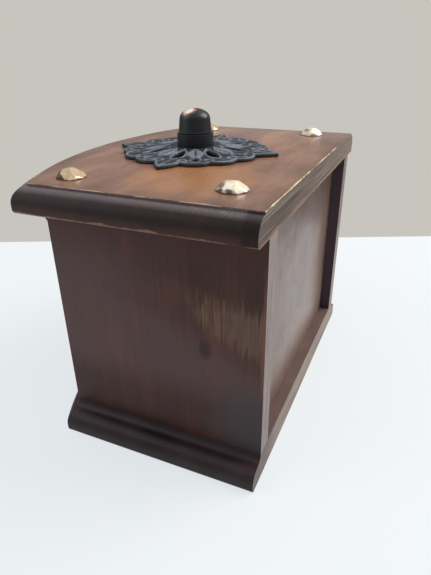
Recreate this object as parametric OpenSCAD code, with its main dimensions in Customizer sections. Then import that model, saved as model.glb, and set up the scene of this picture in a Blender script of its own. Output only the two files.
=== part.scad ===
// Bow-fronted box mill for coffee beans.
// Origin: on the table, under the spindle. +Z up, the bowed front with the drawer faces -Y,
// the flat back faces +Y. Millimetres.

/* [Case] */
// Width over the two side boards
case_w = 126; // [120:1:150]
// Distance from the spindle to the back edges
back_d = 53.8; // [51:0.2:63]
// Distance from the spindle to the middle of the bowed front
front_d = 42.9; // [42.4:0.1:49]
// Radius of the bowed front
bow_r = 144.2; // [130:0.2:260]
// Height of the side boards, between the base board and the top board
wall_h = 84.5; // [84:0.5:110]
// Thickness of the side boards
side_t = 8; // [6:0.5:9]
// Thickness of the bowed front boards
front_t = 9; // [7:0.5:10]
// Thickness of the back panel
panel_t = 4; // [3:0.5:5]
// Depth of the back panel behind the back edges
panel_in = 5.1; // [2:0.1:6]
// Depth of the grooves that hold the back panel
groove_d = 3; // [1.5:0.5:4]

/* [Top board] */
// Thickness of the top board
top_t = 9.5; // [9:0.1:13]
// Overhang past the side boards
top_side = 10.2; // [7:0.1:14]
// Overhang past the bowed front
top_front = 8.9; // [7:0.1:14]
// Radius of the moulded edge
thumb_r = 5.5; // [4:0.1:6]
// Height of the step above the moulded edge
quirk_h = 0.8; // [0.4:0.1:1.2]
// Radius of the eased lower edges
ease_r = 1.5; // [0.5:0.1:2]
// Height of the small bead under the top board
bead_h = 5; // [3:0.2:6]
// Distance that the bead stands out from the front
bead_out = 1; // [0.6:0.1:1.6]

/* [Base board] */
// Thickness of the base board
base_t = 11.7; // [10:0.1:15]
// Projection of its moulded edge at the sides
base_side = 8.2; // [5:0.1:12]
// Projection of its moulded edge at the front
base_front = 4.6; // [3:0.1:12]
// Height of the hollow at the top of the moulding
cove_h = 3; // [2:0.1:4]
// Height of the round below the hollow
ovolo_h = 5.2; // [4:0.1:6]

/* [Corner tacks] */
// Diameter of a tack's head
tack_d = 11.2; // [9:0.1:13]
// Height of a tack's head
tack_h = 3.4; // [2:0.1:4.5]
// Place of the front right tack from the spindle, to the right and back
tack_front_right = [56, -21]; // [-60:0.1:60]
// Place of the back right tack
tack_back_right = [51.5, 37.5]; // [-60:0.1:60]
// Place of the back left tack
tack_back_left = [-57.4, 35.8]; // [-60:0.1:60]
// Place of the front left tack
tack_front_left = [-55.4, -19]; // [-60:0.1:60]
// Diameter of a tack's shank
shank_d = 2.4; // [1.6:0.1:3]
// Length of a tack's shank
shank_l = 7; // [4:0.5:8]

/* [Rosette] */
// Radius to the four points
point_r = 36; // [33:0.5:40]
// Radius to the scallops between the points
scallop_r = 30.5; // [28:0.5:32]
// Turn of the rosette about the spindle, in degrees
rosette_turn = 3; // [-10:0.5:10]
// Thickness of the rosette's rim
rim_t = 1.2; // [1:0.1:2.5]
// Height of the rosette where the collar sits on it
hub_h = 2.6; // [2.2:0.1:4]
// Radius of the flat where the collar sits
hub_r = 9.5; // [8.5:0.1:12]

/* [Spindle, collar and cap nut] */
// Diameter of the spindle
spindle_d = 8; // [7:0.1:9]
// Diameter of the spindle's threaded ends
stub_d = 6; // [5:0.1:6.4]
// Thread that stands out below the adjusting nut
stub_out = 1; // [0.5:0.1:1.5]
// Outside diameter of the collar
collar_d = 15.2; // [14:0.1:17]
// Height of the collar above the rosette
collar_h = 5.2; // [4:0.1:8]
// Diameter of the collar's threaded shank
collar_shank_d = 11; // [10.4:0.1:12.5]
// Diameter of the cap nut at its foot
cap_d = 13.8; // [13:0.1:15]
// Diameter of the cap nut at its shoulder
cap_top_d = 12.8; // [12:0.1:13]
// Height of the cap nut
cap_h = 9.2; // [9:0.1:14]
// Radius of the cap nut's rounded shoulder
cap_corner = 3.6; // [2:0.1:4.5]
// Radius of the cap nut's crown
cap_crown = 9; // [7:0.5:14]
// Thickness of the cap nut over the end of its thread
cap_roof = 2.6; // [2:0.1:4]
// Width of the square seat for a crank
square_w = 6; // [5:0.1:6.4]
// Height of the square seat
square_h = 2.6; // [2:0.1:4]
// Thread left below the nut under the top board
thread_out = 2; // [1:0.5:3]
// Height of the nut under the top board
jam_h = 4.5; // [3:0.1:6]
// Width across the flats of that nut
jam_w = 17; // [15:0.5:19]

/* [Mill] */
// Inner radius of the hopper's mouth
mouth_r = 28.5; // [26:0.1:29]
// Depth from the hopper's flange to the burrs
hopper_h = 34; // [30:0.5:34.5]
// Wall of the hopper casting
cast_t = 2.5; // [2:0.1:3]
// Thickness of the hopper's flange
flange_t = 2.5; // [2:0.1:3.5]
// Outside radius of the ring burr
ring_r = 17; // [16:0.1:18]
// Height of the burrs
burr_h = 10; // [8:0.2:10.4]
// Lower radius of the cone burr
cone_r = 13.6; // [12:0.1:14]
// Upper radius of the cone burr
cone_top_r = 7; // [6:0.1:8]
// Rise of the cone burr above the ring burr
cone_rise = 4; // [2:0.1:6]
// Number of coarse flutes on the cone burr
flutes = 8; // [6:1:10]
// Number of fine teeth on each burr
teeth = 24; // [16:1:30]
// Depth of a fine tooth
tooth_d = 0.9; // [0.5:0.1:1.2]
// Thickness of the lower bridge
bridge_t = 3; // [2.4:0.1:3.2]
// Width of the lower bridge
bridge_w = 10; // [8:0.5:12]
// Height of the bearing under the bridge
bearing_h = 2.5; // [2:0.1:2.8]
// Thickness of the adjusting nut
nut_h = 4.5; // [3:0.1:4.6]
// Radius of the adjusting nut
nut_r = 10.5; // [8:0.1:13]
// Wire diameter of the burr spring
wire_d = 1; // [0.7:0.1:1.3]
// Number of turns of the burr spring
spring_turns = 3; // [2:1:4]

/* [Filler] */
// Width of the opening
filler_w = 48; // [40:0.5:50]
// Height of the opening
filler_h = 17; // [14:0.5:17.4]
// Height of the rail that is left above the opening
filler_rail = 5.6; // [5.4:0.1:8]
// Thickness of the chute's sheet metal
sheet_t = 1; // [0.6:0.1:1.2]
// Width of the small hinge
hinge_w = 24; // [18:1:30]
// Radius of the hinge's knuckles
knuckle_r = 1.6; // [1.3:0.1:2]

/* [Drawer] */
// Height of the drawer's front
drawer_h = 31; // [26:0.2:31.2]
// Height of the drawer's sides
tray_h = 27.5; // [20:0.5:27.5]
// Thickness of the drawer's sides and back
tray_t = 5; // [4:0.2:7]
// Thickness of the drawer's bottom
floor_t = 3; // [2:0.2:4]
// Depth of the grooves that hold the drawer's bottom
tray_groove = 2; // [1:0.2:2.6]
// Height of the drawer's bottom above the foot of its sides
floor_lift = 1.2; // [1:0.2:3]
// Diameter of the drawer's knob
knob_d = 13; // [10:0.5:16]
// Distance that the knob stands out
knob_l = 13; // [10:0.5:18]

/* [Clearances] */
// Running gap between moving faces
gap = 0.4; // [0.3:0.05:0.6]
// Gap at each side of the drawer
drawer_gap = 0.5; // [0.3:0.05:0.8]
// Radial gap of a fit
fit_gap = 0.05; // [0.03:0.01:0.08]

/* [Hidden] */
$fn = 96;

// Colours
WALNUT = "#4a2c20";
WALNUT_TOP = "#7c4c33";
PLYWOOD = "#8d6a55";
PLAIN_WOOD = "#b08a62";
BRASS = "#c9a463";
BLACK_IRON = "#23262b";
CAST_IRON = "#4b4e52";
STEEL = "#a9adb1";

// Levels
under_z = base_t + wall_h;
top_z = under_z + top_t;
rosette_z = top_z + hub_h;
collar_z = rosette_z + collar_h;
cap_z = collar_z + gap;
cap_bore_h = cap_h - cap_roof;
shank_z = under_z - jam_h - thread_out;
thrust_z = shank_z - gap;
throat_z = under_z - hopper_h;
burr_z = throat_z - burr_h;
bridge_z = burr_z - bridge_t;
bearing_z = bridge_z - bearing_h;
nut_z = bearing_z - gap - nut_h;
spindle_end_z = nut_z - stub_out;
filler_top = under_z - filler_rail;
sill_z = filler_top - filler_h;
drawer_z = base_t + gap;
drawer_top = drawer_z + drawer_h;
tray_top = drawer_z + tray_h;

// Plan sizes
case_x = case_w / 2;
inner_x = case_x - side_t;
bow_y = bow_r - front_d;
inner_bow_r = bow_r - front_t;
inner_front = front_d - front_t;
panel_back = back_d - panel_in;
panel_front = panel_back - panel_t;
over = 1;
far = 2 * bow_r;

// ---------- Shared shapes ----------

// Disc about the centre of the bow
module bow_disc(r, z, h) {
    translate([0, bow_y, z]) cylinder(r = r, h = h);
}

// Slab from the back plane to beyond the front, x either side of the middle
module plan_box(x, z, h) {
    translate([-x, -far, z]) cube([2 * x, far + back_d, h]);
}

// Part of a bowed board between two radii, x either side of the middle
module bowed_slab(x, r_in, r_out, z, h) {
    intersection() {
        difference() {
            bow_disc(r_out, z, h);
            bow_disc(r_in, z - over, h + 2 * over);
        }
        translate([-x, -far, z - over]) cube([2 * x, far, h + 2 * over]);
    }
}

// A board with one edge section at both sides and round the bowed front, and a plain back.
// children(0) is the whole section across, children(1) the section from the bow's centre out.
module moulded_board() {
    intersection() {
        translate([0, back_d, 0]) rotate([90, 0, 0]) linear_extrude(height = far) children(0);
        translate([0, bow_y, 0]) rotate_extrude() children(1);
    }
}

// Section of the top board out to reach: step, quarter round, eased lower edge
module thumbnail_section(reach) {
    round_z = top_t - quirk_h - thumb_r;
    square([reach - thumb_r, top_t]);
    square([reach - ease_r, round_z]);
    translate([reach - thumb_r, round_z]) intersection() {
        circle(thumb_r);
        square(thumb_r);
    }
    translate([0, ease_r]) square([reach, round_z - ease_r]);
    translate([reach - ease_r, ease_r]) circle(ease_r);
}

// Edge of the base board from its top to its foot: hollow, round, plain edge, eased foot.
// reach is the foot's distance and out its projection past the case.
function ogee_edge(reach, out) =
    let (
        steps = 8,
        cove_out = out * cove_h / (cove_h + ovolo_h),
        ovolo_out = out - cove_out
    )
    concat(
        [for (i = [0 : steps]) let (a = 90 * i / steps)
            [reach - out + cove_out * (1 - cos(a)), base_t - cove_h * sin(a)]],
        [for (i = [1 : steps]) let (a = 90 * i / steps)
            [reach - ovolo_out * (1 - sin(a)), base_t - cove_h - ovolo_h * (1 - cos(a))]],
        [for (i = [0 : steps / 2]) let (a = 180 * i / steps)
            [reach - ease_r * (1 - cos(a)), ease_r * (1 - sin(a))]]
    );

// The same points mirrored and in the opposite order
function other_edge(points) =
    [for (i = [len(points) - 1 : -1 : 0]) [-points[i][0], points[i][1]]];

// Depth of the straight rim round a screw's head
function rim_depth(head_d) = head_d / 9;

// Countersunk wood screw, its head's face at z = 0 and its point at -length
module wood_screw(head_d, body_d, length) {
    body_r = body_d / 2;
    head_r = head_d / 2;
    rim = rim_depth(head_d);
    slot_w = head_d / 6;
    tip_r = 0.3;
    difference() {
        rotate_extrude() polygon([[0, 0], [head_r, 0], [head_r, -rim],
            [body_r, body_r - head_r - rim], [body_r, 2 * body_r - length],
            [tip_r, -length], [0, -length]]);
        rotate(30) translate([-head_d, -slot_w / 2, -0.8 * rim]) cube([2 * head_d, slot_w, head_d]);
    }
}

// The hole of such a screw, a little larger all round
module screw_hole(head_d, body_d, length) {
    head_h = (head_d - body_d) / 2;
    rim = rim_depth(head_d) + fit_gap;
    translate([0, 0, -head_h - rim])
        cylinder(d1 = body_d + 2 * fit_gap, d2 = head_d + 2 * fit_gap, h = head_h);
    translate([0, 0, -rim]) cylinder(d = head_d + 2 * fit_gap, h = rim + over);
    translate([0, 0, -length - fit_gap]) cylinder(d = body_d + 2 * fit_gap, h = length);
}

// Height of a crowned section, from the middle of its corner to its crown
function crown_rise(side_r, corner, crown) =
    crown - sqrt(pow(crown - corner, 2) - pow(side_r - corner, 2));

// Half section of a round head above y = 0: a corner at side_r that runs on into a flatter crown
module crowned_section(side_r, corner, crown) {
    middle = crown_rise(side_r, corner, crown) - crown;
    far_out = 2 * crown / norm([side_r - corner, middle]);
    intersection() {
        translate([0, middle]) circle(crown);
        polygon([[0, middle], [0, 2 * crown],
            [far_out * (side_r - corner), middle - far_out * middle]]);
        square([side_r, crown]);
    }
    intersection() {
        translate([side_r - corner, 0]) circle(corner);
        square([side_r, corner]);
    }
}

// Turned knob standing out along +Z from z = 0, with a blind hole for its screw
module turned_knob(d, l, hole_d) {
    foot_t = d * 0.12;
    foot_r = d * 0.38;
    neck_r = d * 0.24;
    corner = d * 0.2;
    crown = d * 0.75;
    head_z = l - crown_rise(d / 2, corner, crown);
    cove_r = foot_r - neck_r;
    difference() {
        rotate_extrude() {
            square([foot_r - foot_t / 2, foot_t]);
            intersection() {
                translate([foot_r - foot_t / 2, foot_t / 2]) circle(foot_t / 2);
                square([foot_r, foot_t]);
            }
            difference() {
                square([foot_r - foot_t / 2, foot_t + cove_r]);
                translate([foot_r, foot_t + cove_r]) circle(cove_r);
            }
            square([neck_r, head_z]);
            translate([0, head_z]) {
                crowned_section(d / 2, corner, crown);
                mirror([0, 1]) crowned_section(d / 2, corner, crown);
            }
        }
        translate([0, 0, -over]) cylinder(d = hole_d, h = l * 0.6 + over);
    }
}

// ---------- Case ----------

base_screw_d = 3;
base_screw_head = 6.5;
base_screw_bite = 14;
base_screw_in = 16;
base_screw_l = base_t + base_screw_bite;
base_screw_back = back_d - base_screw_in;
base_screw_front = -front_d / 4;

// Calls its children at each of the four screws through the base into the sides
module at_base_screws() {
    for (x = [-1, 1], y = [base_screw_front, base_screw_back])
        translate([x * (case_x - side_t / 2), y, 0]) rotate([180, 0, 0]) children();
}

module base_board() {
    side_edge = ogee_edge(case_x + base_side, base_side);
    color(WALNUT) difference() {
        moulded_board() {
            polygon(concat(side_edge, other_edge(side_edge)));
            polygon(concat([[0, 0], [0, base_t]], ogee_edge(bow_r + base_front, base_front)));
        }
        at_base_screws() screw_hole(base_screw_head, base_screw_d, base_screw_l);
    }
}

module side_board(side) {
    color(WALNUT) difference() {
        intersection() {
            translate([side > 0 ? inner_x : -case_x, -far, base_t])
                cube([side_t, far + back_d, wall_h]);
            bow_disc(bow_r, base_t, wall_h);
        }
        translate([side > 0 ? inner_x - over : -inner_x - groove_d, panel_front, base_t - over])
            cube([groove_d + over, panel_t, wall_h + 2 * over]);
        at_base_screws() screw_hole(base_screw_head, base_screw_d, base_screw_l);
    }
}

module left_side() {
    side_board(-1);
}

module right_side() {
    side_board(1);
}

module back_panel() {
    slack = 0.2;
    w = inner_x + groove_d - slack;
    color(PLYWOOD) translate([-w, panel_front, base_t]) cube([2 * w, panel_t, wall_h]);
}

module top_board() {
    color(WALNUT_TOP) difference() {
        translate([0, 0, under_z]) moulded_board() {
            union() {
                thumbnail_section(case_x + top_side);
                mirror([1, 0]) thumbnail_section(case_x + top_side);
            }
            thumbnail_section(bow_r + top_front);
        }
        translate([0, 0, under_z - over])
            cylinder(d = collar_shank_d + 2 * fit_gap, h = top_t + 2 * over);
        at_tacks() translate([0, 0, -shank_l - fit_gap])
            cylinder(d = shank_d + 2 * fit_gap, h = shank_l + over);
        at_hopper_screws() translate([0, 0, -over])
            cylinder(d = hopper_screw_d + 2 * fit_gap, h = hopper_screw_l + over);
    }
}

module front_apron() {
    low_z = drawer_top + gap;
    color(WALNUT) difference() {
        bowed_slab(inner_x, inner_bow_r, bow_r, low_z, under_z - low_z);
        translate([-filler_w / 2, -far, sill_z]) cube([filler_w, far, filler_h]);
    }
}

// Half-round bead across the front under the top board, over the ends of the side boards
module front_bead() {
    color(WALNUT) intersection() {
        translate([0, bow_y, under_z - bead_h / 2]) rotate_extrude() {
            translate([bow_r, 0]) intersection() {
                translate([0, -bead_h / 2]) square([bead_out, bead_h]);
                translate([bead_out - bead_round(), 0]) circle(bead_round());
            }
        }
        translate([-case_x, -far, base_t]) cube([case_w, far, wall_h]);
    }
}

// Radius of the bead's round face, through its two edges and its crest
function bead_round() = (bead_out * bead_out + bead_h * bead_h / 4) / (2 * bead_out);

module base_screws() {
    color(STEEL) at_base_screws() wood_screw(base_screw_head, base_screw_d, base_screw_l);
}

// Calls its children at the foot of each tack's head
module at_tacks() {
    for (place = [tack_front_right, tack_back_right, tack_back_left, tack_front_left])
        translate([place[0], place[1], top_z]) children();
}

module corner_tacks() {
    ball_r = (tack_d * tack_d / 4 + tack_h * tack_h) / (2 * tack_h);
    color(BRASS) at_tacks() {
        intersection() {
            translate([0, 0, tack_h - ball_r]) sphere(ball_r);
            cylinder(d = tack_d, h = tack_h);
        }
        translate([0, 0, -shank_l]) cylinder(d = shank_d, h = shank_l);
    }
}

// ---------- Rosette, collar and spindle ----------

// Plan of the rosette: four points with three scallops between each two, pierced all round
module rosette_plan() {
    lobe = scallop_r * 0.24;
    leaf_l = scallop_r * 0.18;
    leaf_w = scallop_r * 0.06;
    eye_r = leaf_w * 0.6;
    difference() {
        union() {
            circle(scallop_r - lobe * 0.8);
            for (a = [0 : 90 : 270]) rotate(a) {
                point_plan();
                for (b = [22.5, 45, 67.5]) rotate(b) translate([scallop_r - lobe, 0]) circle(lobe);
            }
        }
        for (a = [0 : 45 : 315]) rotate(a) {
            leaf_window(scallop_r * 0.57, leaf_l, leaf_w);
            rotate(22.5) leaf_window(scallop_r * 0.79, leaf_l * 0.6, leaf_w * 0.72);
            for (b = [-1, 1]) rotate(11 * b) translate([scallop_r * 0.84, 0]) circle(eye_r);
        }
    }
}

// One point: two arcs that meet in a sharp tip
module point_plan() {
    arc_r = point_r * 0.52;
    half = point_r * 0.17;
    base = point_r * 0.62;
    intersection() {
        translate([base, half - arc_r]) circle(arc_r);
        translate([base, arc_r - half]) circle(arc_r);
    }
}

// Leaf-shaped piercing at a distance from the middle, two arcs with these half lengths
module leaf_window(at, half_l, half_w) {
    arc_r = (half_l * half_l + half_w * half_w) / (2 * half_w);
    translate([at, 0]) intersection() {
        translate([0, arc_r - half_w]) circle(arc_r);
        translate([0, half_w - arc_r]) circle(arc_r);
    }
}

module rosette() {
    color(BLACK_IRON) translate([0, 0, top_z]) difference() {
        intersection() {
            linear_extrude(height = hub_h) rotate(rosette_turn) rosette_plan();
            union() {
                cylinder(r = point_r + over, h = rim_t);
                cylinder(r1 = scallop_r * 0.95, r2 = hub_r, h = hub_h);
            }
        }
        translate([0, 0, -over]) cylinder(d = collar_shank_d + 2 * fit_gap, h = hub_h + 2 * over);
    }
}

// Flanged bearing: collar above the rosette, shank down through the top board
module collar() {
    color(BLACK_IRON) difference() {
        union() {
            translate([0, 0, rosette_z]) cylinder(d = collar_d, h = collar_h);
            translate([0, 0, shank_z]) cylinder(d = collar_shank_d, h = rosette_z - shank_z);
        }
        translate([0, 0, shank_z - over])
            cylinder(d = spindle_d + 2 * fit_gap, h = collar_z - shank_z + 2 * over);
    }
}

module jam_nut() {
    color(STEEL) translate([0, 0, under_z - jam_h]) difference() {
        cylinder(d = jam_w / cos(30), h = jam_h, $fn = 6);
        translate([0, 0, -over])
            cylinder(d = collar_shank_d + 2 * fit_gap, h = jam_h + 2 * over);
    }
}

module spindle() {
    thrust_h = 3;
    thrust_d = 13;
    color(STEEL) {
        translate([0, 0, burr_z + gap]) cylinder(d = spindle_d, h = cap_z - burr_z - gap);
        translate([0, 0, thrust_z - thrust_h]) cylinder(d = thrust_d, h = thrust_h);
        translate([0, 0, spindle_end_z]) cylinder(d = stub_d, h = burr_z + gap - spindle_end_z);
        translate([-square_w / 2, -square_w / 2, cap_z]) cube([square_w, square_w, square_h]);
        translate([0, 0, cap_z]) cylinder(d = stub_d, h = cap_bore_h - gap);
    }
}

// Half section of the cap nut: sides that lean in to a rounded shoulder, and a curved crown
module cap_section() {
    foot_r = cap_d / 2;
    corner_x = cap_top_d / 2 - cap_corner;
    corner_z = cap_h - crown_rise(cap_top_d / 2, cap_corner, cap_crown);
    reach = norm([corner_x - foot_r, corner_z]);
    lean = atan2(corner_z, corner_x - foot_r) - asin(cap_corner / reach);
    side = sqrt(reach * reach - cap_corner * cap_corner);
    polygon([[0, 0], [foot_r, 0], [foot_r + side * cos(lean), side * sin(lean)],
        [corner_x, corner_z], [0, corner_z]]);
    translate([0, corner_z]) crowned_section(cap_top_d / 2, cap_corner, cap_crown);
}

// Bullet-shaped blind nut over the square and the threaded end
module cap_nut() {
    seat_d = square_w * sqrt(2) + 4 * fit_gap;
    color(BLACK_IRON) translate([0, 0, cap_z]) difference() {
        rotate_extrude() cap_section();
        translate([0, 0, -over]) cylinder(d = seat_d, h = square_h + fit_gap + over);
        cylinder(d = stub_d + 2 * fit_gap, h = cap_bore_h);
    }
}

// ---------- Mill ----------

hopper_screw_d = 3;
hopper_screw_head = 6;
hopper_screw_l = 7;
flange_out = 1.5;
lug_r = 5;
lug_at = mouth_r + cast_t + lug_r;
housing_r = ring_r + cast_t;
ear_r = 4;
ear_top = 3;
ear_h = burr_h - ear_top;
ear_bite = 0.5;
bridge_x = housing_r + ear_r - ear_bite;
bridge_screw_d = 2.5;
bridge_screw_l = 4.6;
bearing_r = 6.5;
ledge_h = 1;
notch_h = 2.5;
notch_z = throat_z + notch_h;
chute_foot_w = 0.62;
chute_end_y = ledge_h - ring_r;
chute_mouth_y = bow_y - sqrt(pow(inner_bow_r, 2) - pow(filler_w / 2, 2));

// Calls its children on the underside of the top board at each screw of the hopper
module at_hopper_screws() {
    for (a = [45 : 90 : 315]) rotate(a) translate([lug_at, 0, under_z]) children();
}

// Calls its children on the underside of the burr housing at each screw of the bridge
module at_bridge_screws() {
    for (x = [-bridge_x, bridge_x]) translate([x, 0, burr_z]) children();
}

// Funnel-shaped casting: flange with four lugs, bowl, burr housing with two ears
module hopper() {
    outer_mouth = mouth_r + cast_t;
    color(CAST_IRON) difference() {
        union() {
            translate([0, 0, under_z - flange_t])
                cylinder(r = outer_mouth + flange_out, h = flange_t);
            at_hopper_screws() translate([0, 0, -flange_t]) cylinder(r = lug_r, h = flange_t);
            translate([0, 0, throat_z])
                cylinder(r1 = housing_r, r2 = outer_mouth, h = hopper_h - flange_t);
            translate([0, 0, burr_z]) cylinder(r = housing_r, h = burr_h);
            at_bridge_screws() cylinder(r = ear_r, h = ear_h);
        }
        translate([0, 0, burr_z - over]) cylinder(r = ring_r, h = burr_h + over);
        translate([0, 0, throat_z - over]) cylinder(r = ring_r - ledge_h, h = 2 * over);
        translate([0, 0, throat_z + ledge_h])
            cylinder(r1 = ring_r - ledge_h, r2 = mouth_r, h = hopper_h - ledge_h + fit_gap);
        translate([0, 0, notch_z]) linear_extrude(height = under_z - flange_t - notch_z)
            chute_plan(sheet_t + fit_gap, 2 * front_t);
        at_hopper_screws() translate([0, 0, -flange_t]) rotate([180, 0, 0])
            screw_hole(hopper_screw_head, hopper_screw_d, hopper_screw_l + flange_t);
        at_bridge_screws() translate([0, 0, -over])
            cylinder(d = bridge_screw_d + 2 * fit_gap, h = bridge_screw_l + gap + over);
    }
}

module hopper_screws() {
    color(STEEL) at_hopper_screws() translate([0, 0, -flange_t]) rotate([180, 0, 0])
        wood_screw(hopper_screw_head, hopper_screw_d, hopper_screw_l + flange_t - gap);
}

// Square bars for a ring of leaning grooves, their edges at radius r, z from low to high
module groove_bars(r, lean, low, high) {
    for (i = [0 : teeth - 1]) rotate(360 * i / teeth) translate([r, 0, 0]) rotate([lean, 0, 45])
        translate([0, 0, low]) cube([tooth_d * 1.2, tooth_d * 1.2, high - low]);
}

module ring_burr() {
    burr_gap = 0.5;
    ring_lip = 1.4;
    low_r = cone_r + burr_gap;
    high_r = ring_r - ring_lip;
    color(STEEL) translate([0, 0, burr_z]) difference() {
        cylinder(r = ring_r - fit_gap, h = burr_h);
        translate([0, 0, -fit_gap]) cylinder(r1 = low_r, r2 = high_r, h = burr_h + 2 * fit_gap);
        groove_bars(low_r - tooth_d * 0.4, 16, -burr_h, 2 * burr_h);
    }
}

// The burr spring's mean radius, the play round it and the depth of its pocket in the cone burr
coil_in = 1.4;
coil_play = 1;
coil_seat = 0.1;
coil_r = spindle_d / 2 + coil_in + wire_d / 2;
pocket_h = burr_h * 0.5;

// Cone with coarse leaning flutes above and fine teeth at its foot
module cone_burr() {
    foot_h = 4;
    cone_h = burr_h + cone_rise - gap;
    spring_room = coil_r + wire_d / 2 + coil_play;
    flute_r = 2.4;
    color(STEEL) translate([0, 0, burr_z + gap]) difference() {
        union() {
            cylinder(r = cone_r, h = foot_h * 0.6);
            translate([0, 0, foot_h * 0.6])
                cylinder(r1 = cone_r, r2 = cone_top_r, h = cone_h - foot_h * 0.6);
        }
        translate([0, 0, -over]) cylinder(d = spindle_d + 2 * fit_gap, h = cone_h + 2 * over);
        translate([0, 0, -over]) cylinder(r = spring_room, h = pocket_h + over);
        for (i = [0 : flutes - 1]) rotate(360 * i / flutes)
            translate([cone_r - flute_r * 0.35, 0, foot_h + flute_r]) rotate([28, -24, 0])
                cylinder(r = flute_r, h = 2 * cone_h);
        groove_bars(cone_r - tooth_d * 0.6, -16, -foot_h, 1.4 * foot_h);
    }
}

// Compression spring between the bridge and the cone burr, one polyhedron swept along its helix
module burr_spring() {
    sides = 8;
    per_turn = 16;
    rings = spring_turns * per_turn;
    wire_r = wire_d / 2;
    rise = pocket_h + gap - wire_d - 2 * coil_seat;
    low = burr_z + wire_r + coil_seat;
    points = [for (i = [0 : rings], j = [0 : sides - 1])
        let (t = 360 * i / per_turn, a = 360 * j / sides, r = coil_r + wire_r * cos(a))
        [r * cos(t), r * sin(t), low + rise * i / rings + wire_r * sin(a)]];
    walls = [for (i = [0 : rings - 1], j = [0 : sides - 1])
        let (k = (j + 1) % sides, a = i * sides, b = a + sides) [a + j, b + j, b + k, a + k]];
    first = [for (j = [0 : sides - 1]) j];
    last = [for (j = [sides - 1 : -1 : 0]) rings * sides + j];
    color(STEEL) polyhedron(points, concat([first], walls, [last]));
}

// Strap under the burr housing with the lower bearing
module lower_bridge() {
    color(CAST_IRON) difference() {
        union() {
            translate([-bridge_x, -bridge_w / 2, bridge_z]) cube([2 * bridge_x, bridge_w, bridge_t]);
            at_bridge_screws() translate([0, 0, -bridge_t])
                cylinder(d = bridge_w, h = bridge_t);
            translate([0, 0, bearing_z]) cylinder(r = bearing_r, h = bearing_h + bridge_t);
        }
        translate([0, 0, bearing_z - over])
            cylinder(d = stub_d + 2 * fit_gap, h = bearing_h + bridge_t + 2 * over);
        at_bridge_screws() translate([0, 0, -bridge_t - over])
            cylinder(d = bridge_screw_d + 2 * fit_gap, h = bridge_t + 2 * over);
    }
}

// Cheese-headed screws up through the bridge into the housing's ears
module bridge_screws() {
    head_h = bridge_screw_d * 0.64;
    slot_w = bridge_screw_d * 0.32;
    color(STEEL) at_bridge_screws() translate([0, 0, -bridge_t]) difference() {
        union() {
            translate([0, 0, -head_h]) cylinder(d = 2 * bridge_screw_d, h = head_h);
            cylinder(d = bridge_screw_d, h = bridge_t + bridge_screw_l);
        }
        translate([-bridge_screw_d * 2, -slot_w / 2, -head_h - over])
            cube([4 * bridge_screw_d, slot_w, over + head_h * 0.5]);
    }
}

// Star-shaped nut on the spindle's lower end: it sets how fine the mill grinds
module adjusting_nut() {
    scallops = 10;
    scallop_bite = nut_r * 0.24;
    color(BRASS) translate([0, 0, nut_z]) difference() {
        cylinder(r = nut_r, h = nut_h);
        translate([0, 0, -over]) cylinder(d = stub_d + 2 * fit_gap, h = nut_h + 2 * over);
        for (i = [0 : scallops - 1]) rotate(360 * i / scallops)
            translate([nut_r + scallop_bite * 0.4, 0, -over])
                cylinder(r = scallop_bite, h = nut_h + 2 * over);
    }
}

// ---------- Filler ----------

// The flap turns about the hinge, in front of its lower edge
pivot_y = -front_d - knuckle_r;
pivot_z = sill_z;
flap_reach = filler_h - gap;
flap_knob_z = pivot_z + filler_h * 0.62;
flap_knob_d = 7;
flap_pin_d = 2;
flap_pin_l = 6;

module filler_flap() {
    color(WALNUT) difference() {
        intersection() {
            bowed_slab(filler_w / 2 - gap, inner_bow_r, bow_r, sill_z + gap, filler_h - gap);
            translate([-case_x, pivot_y, pivot_z]) rotate([0, 90, 0])
                cylinder(r = flap_reach, h = case_w);
        }
        translate([0, -front_d - over, flap_knob_z]) rotate([-90, 0, 0])
            cylinder(d = flap_pin_d + 2 * fit_gap, h = over + flap_pin_l + gap);
    }
}

// Small knob with a pin behind it that is driven into the flap
module flap_knob() {
    color(BRASS) translate([0, -front_d, flap_knob_z]) {
        rotate([90, 0, 0]) turned_knob(flap_knob_d, flap_knob_d, flap_pin_d / 2);
        rotate([-90, 0, 0]) cylinder(d = flap_pin_d, h = flap_pin_l);
    }
}

leaf_t = 0.8;
leaf_h = 5.5;
hinge_pin_d = 1.2;
knuckle_w = hinge_w / 3;

// Curved plate on the bowed front, x either side of the middle
module leaf_plate(x, z, h) {
    bowed_slab(x, bow_r, bow_r + leaf_t, z, h);
}

// Tube round the hinge's pin from x = low to x = high, with its strap back to the leaf
module knuckle(low, high, up) {
    strap_z = up > 0 ? pivot_z : pivot_z - knuckle_r;
    translate([low, pivot_y, pivot_z]) rotate([0, 90, 0]) cylinder(r = knuckle_r, h = high - low);
    intersection() {
        leaf_plate(hinge_w / 2, strap_z, knuckle_r);
        translate([low, -far, 0]) cube([high - low, far, top_z]);
    }
}

module hinge_bore() {
    translate([-hinge_w, pivot_y, pivot_z]) rotate([0, 90, 0])
        cylinder(d = hinge_pin_d + 2 * fit_gap, h = 2 * hinge_w);
}

module hinge_flap_leaf() {
    x = knuckle_w / 2 - gap / 2;
    color(BRASS) difference() {
        union() {
            leaf_plate(hinge_w / 2, pivot_z + knuckle_r + gap, leaf_h - knuckle_r - gap);
            leaf_plate(x, pivot_z + knuckle_r - gap, 3 * gap);
            knuckle(-x, x, 1);
        }
        hinge_bore();
    }
}

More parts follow.
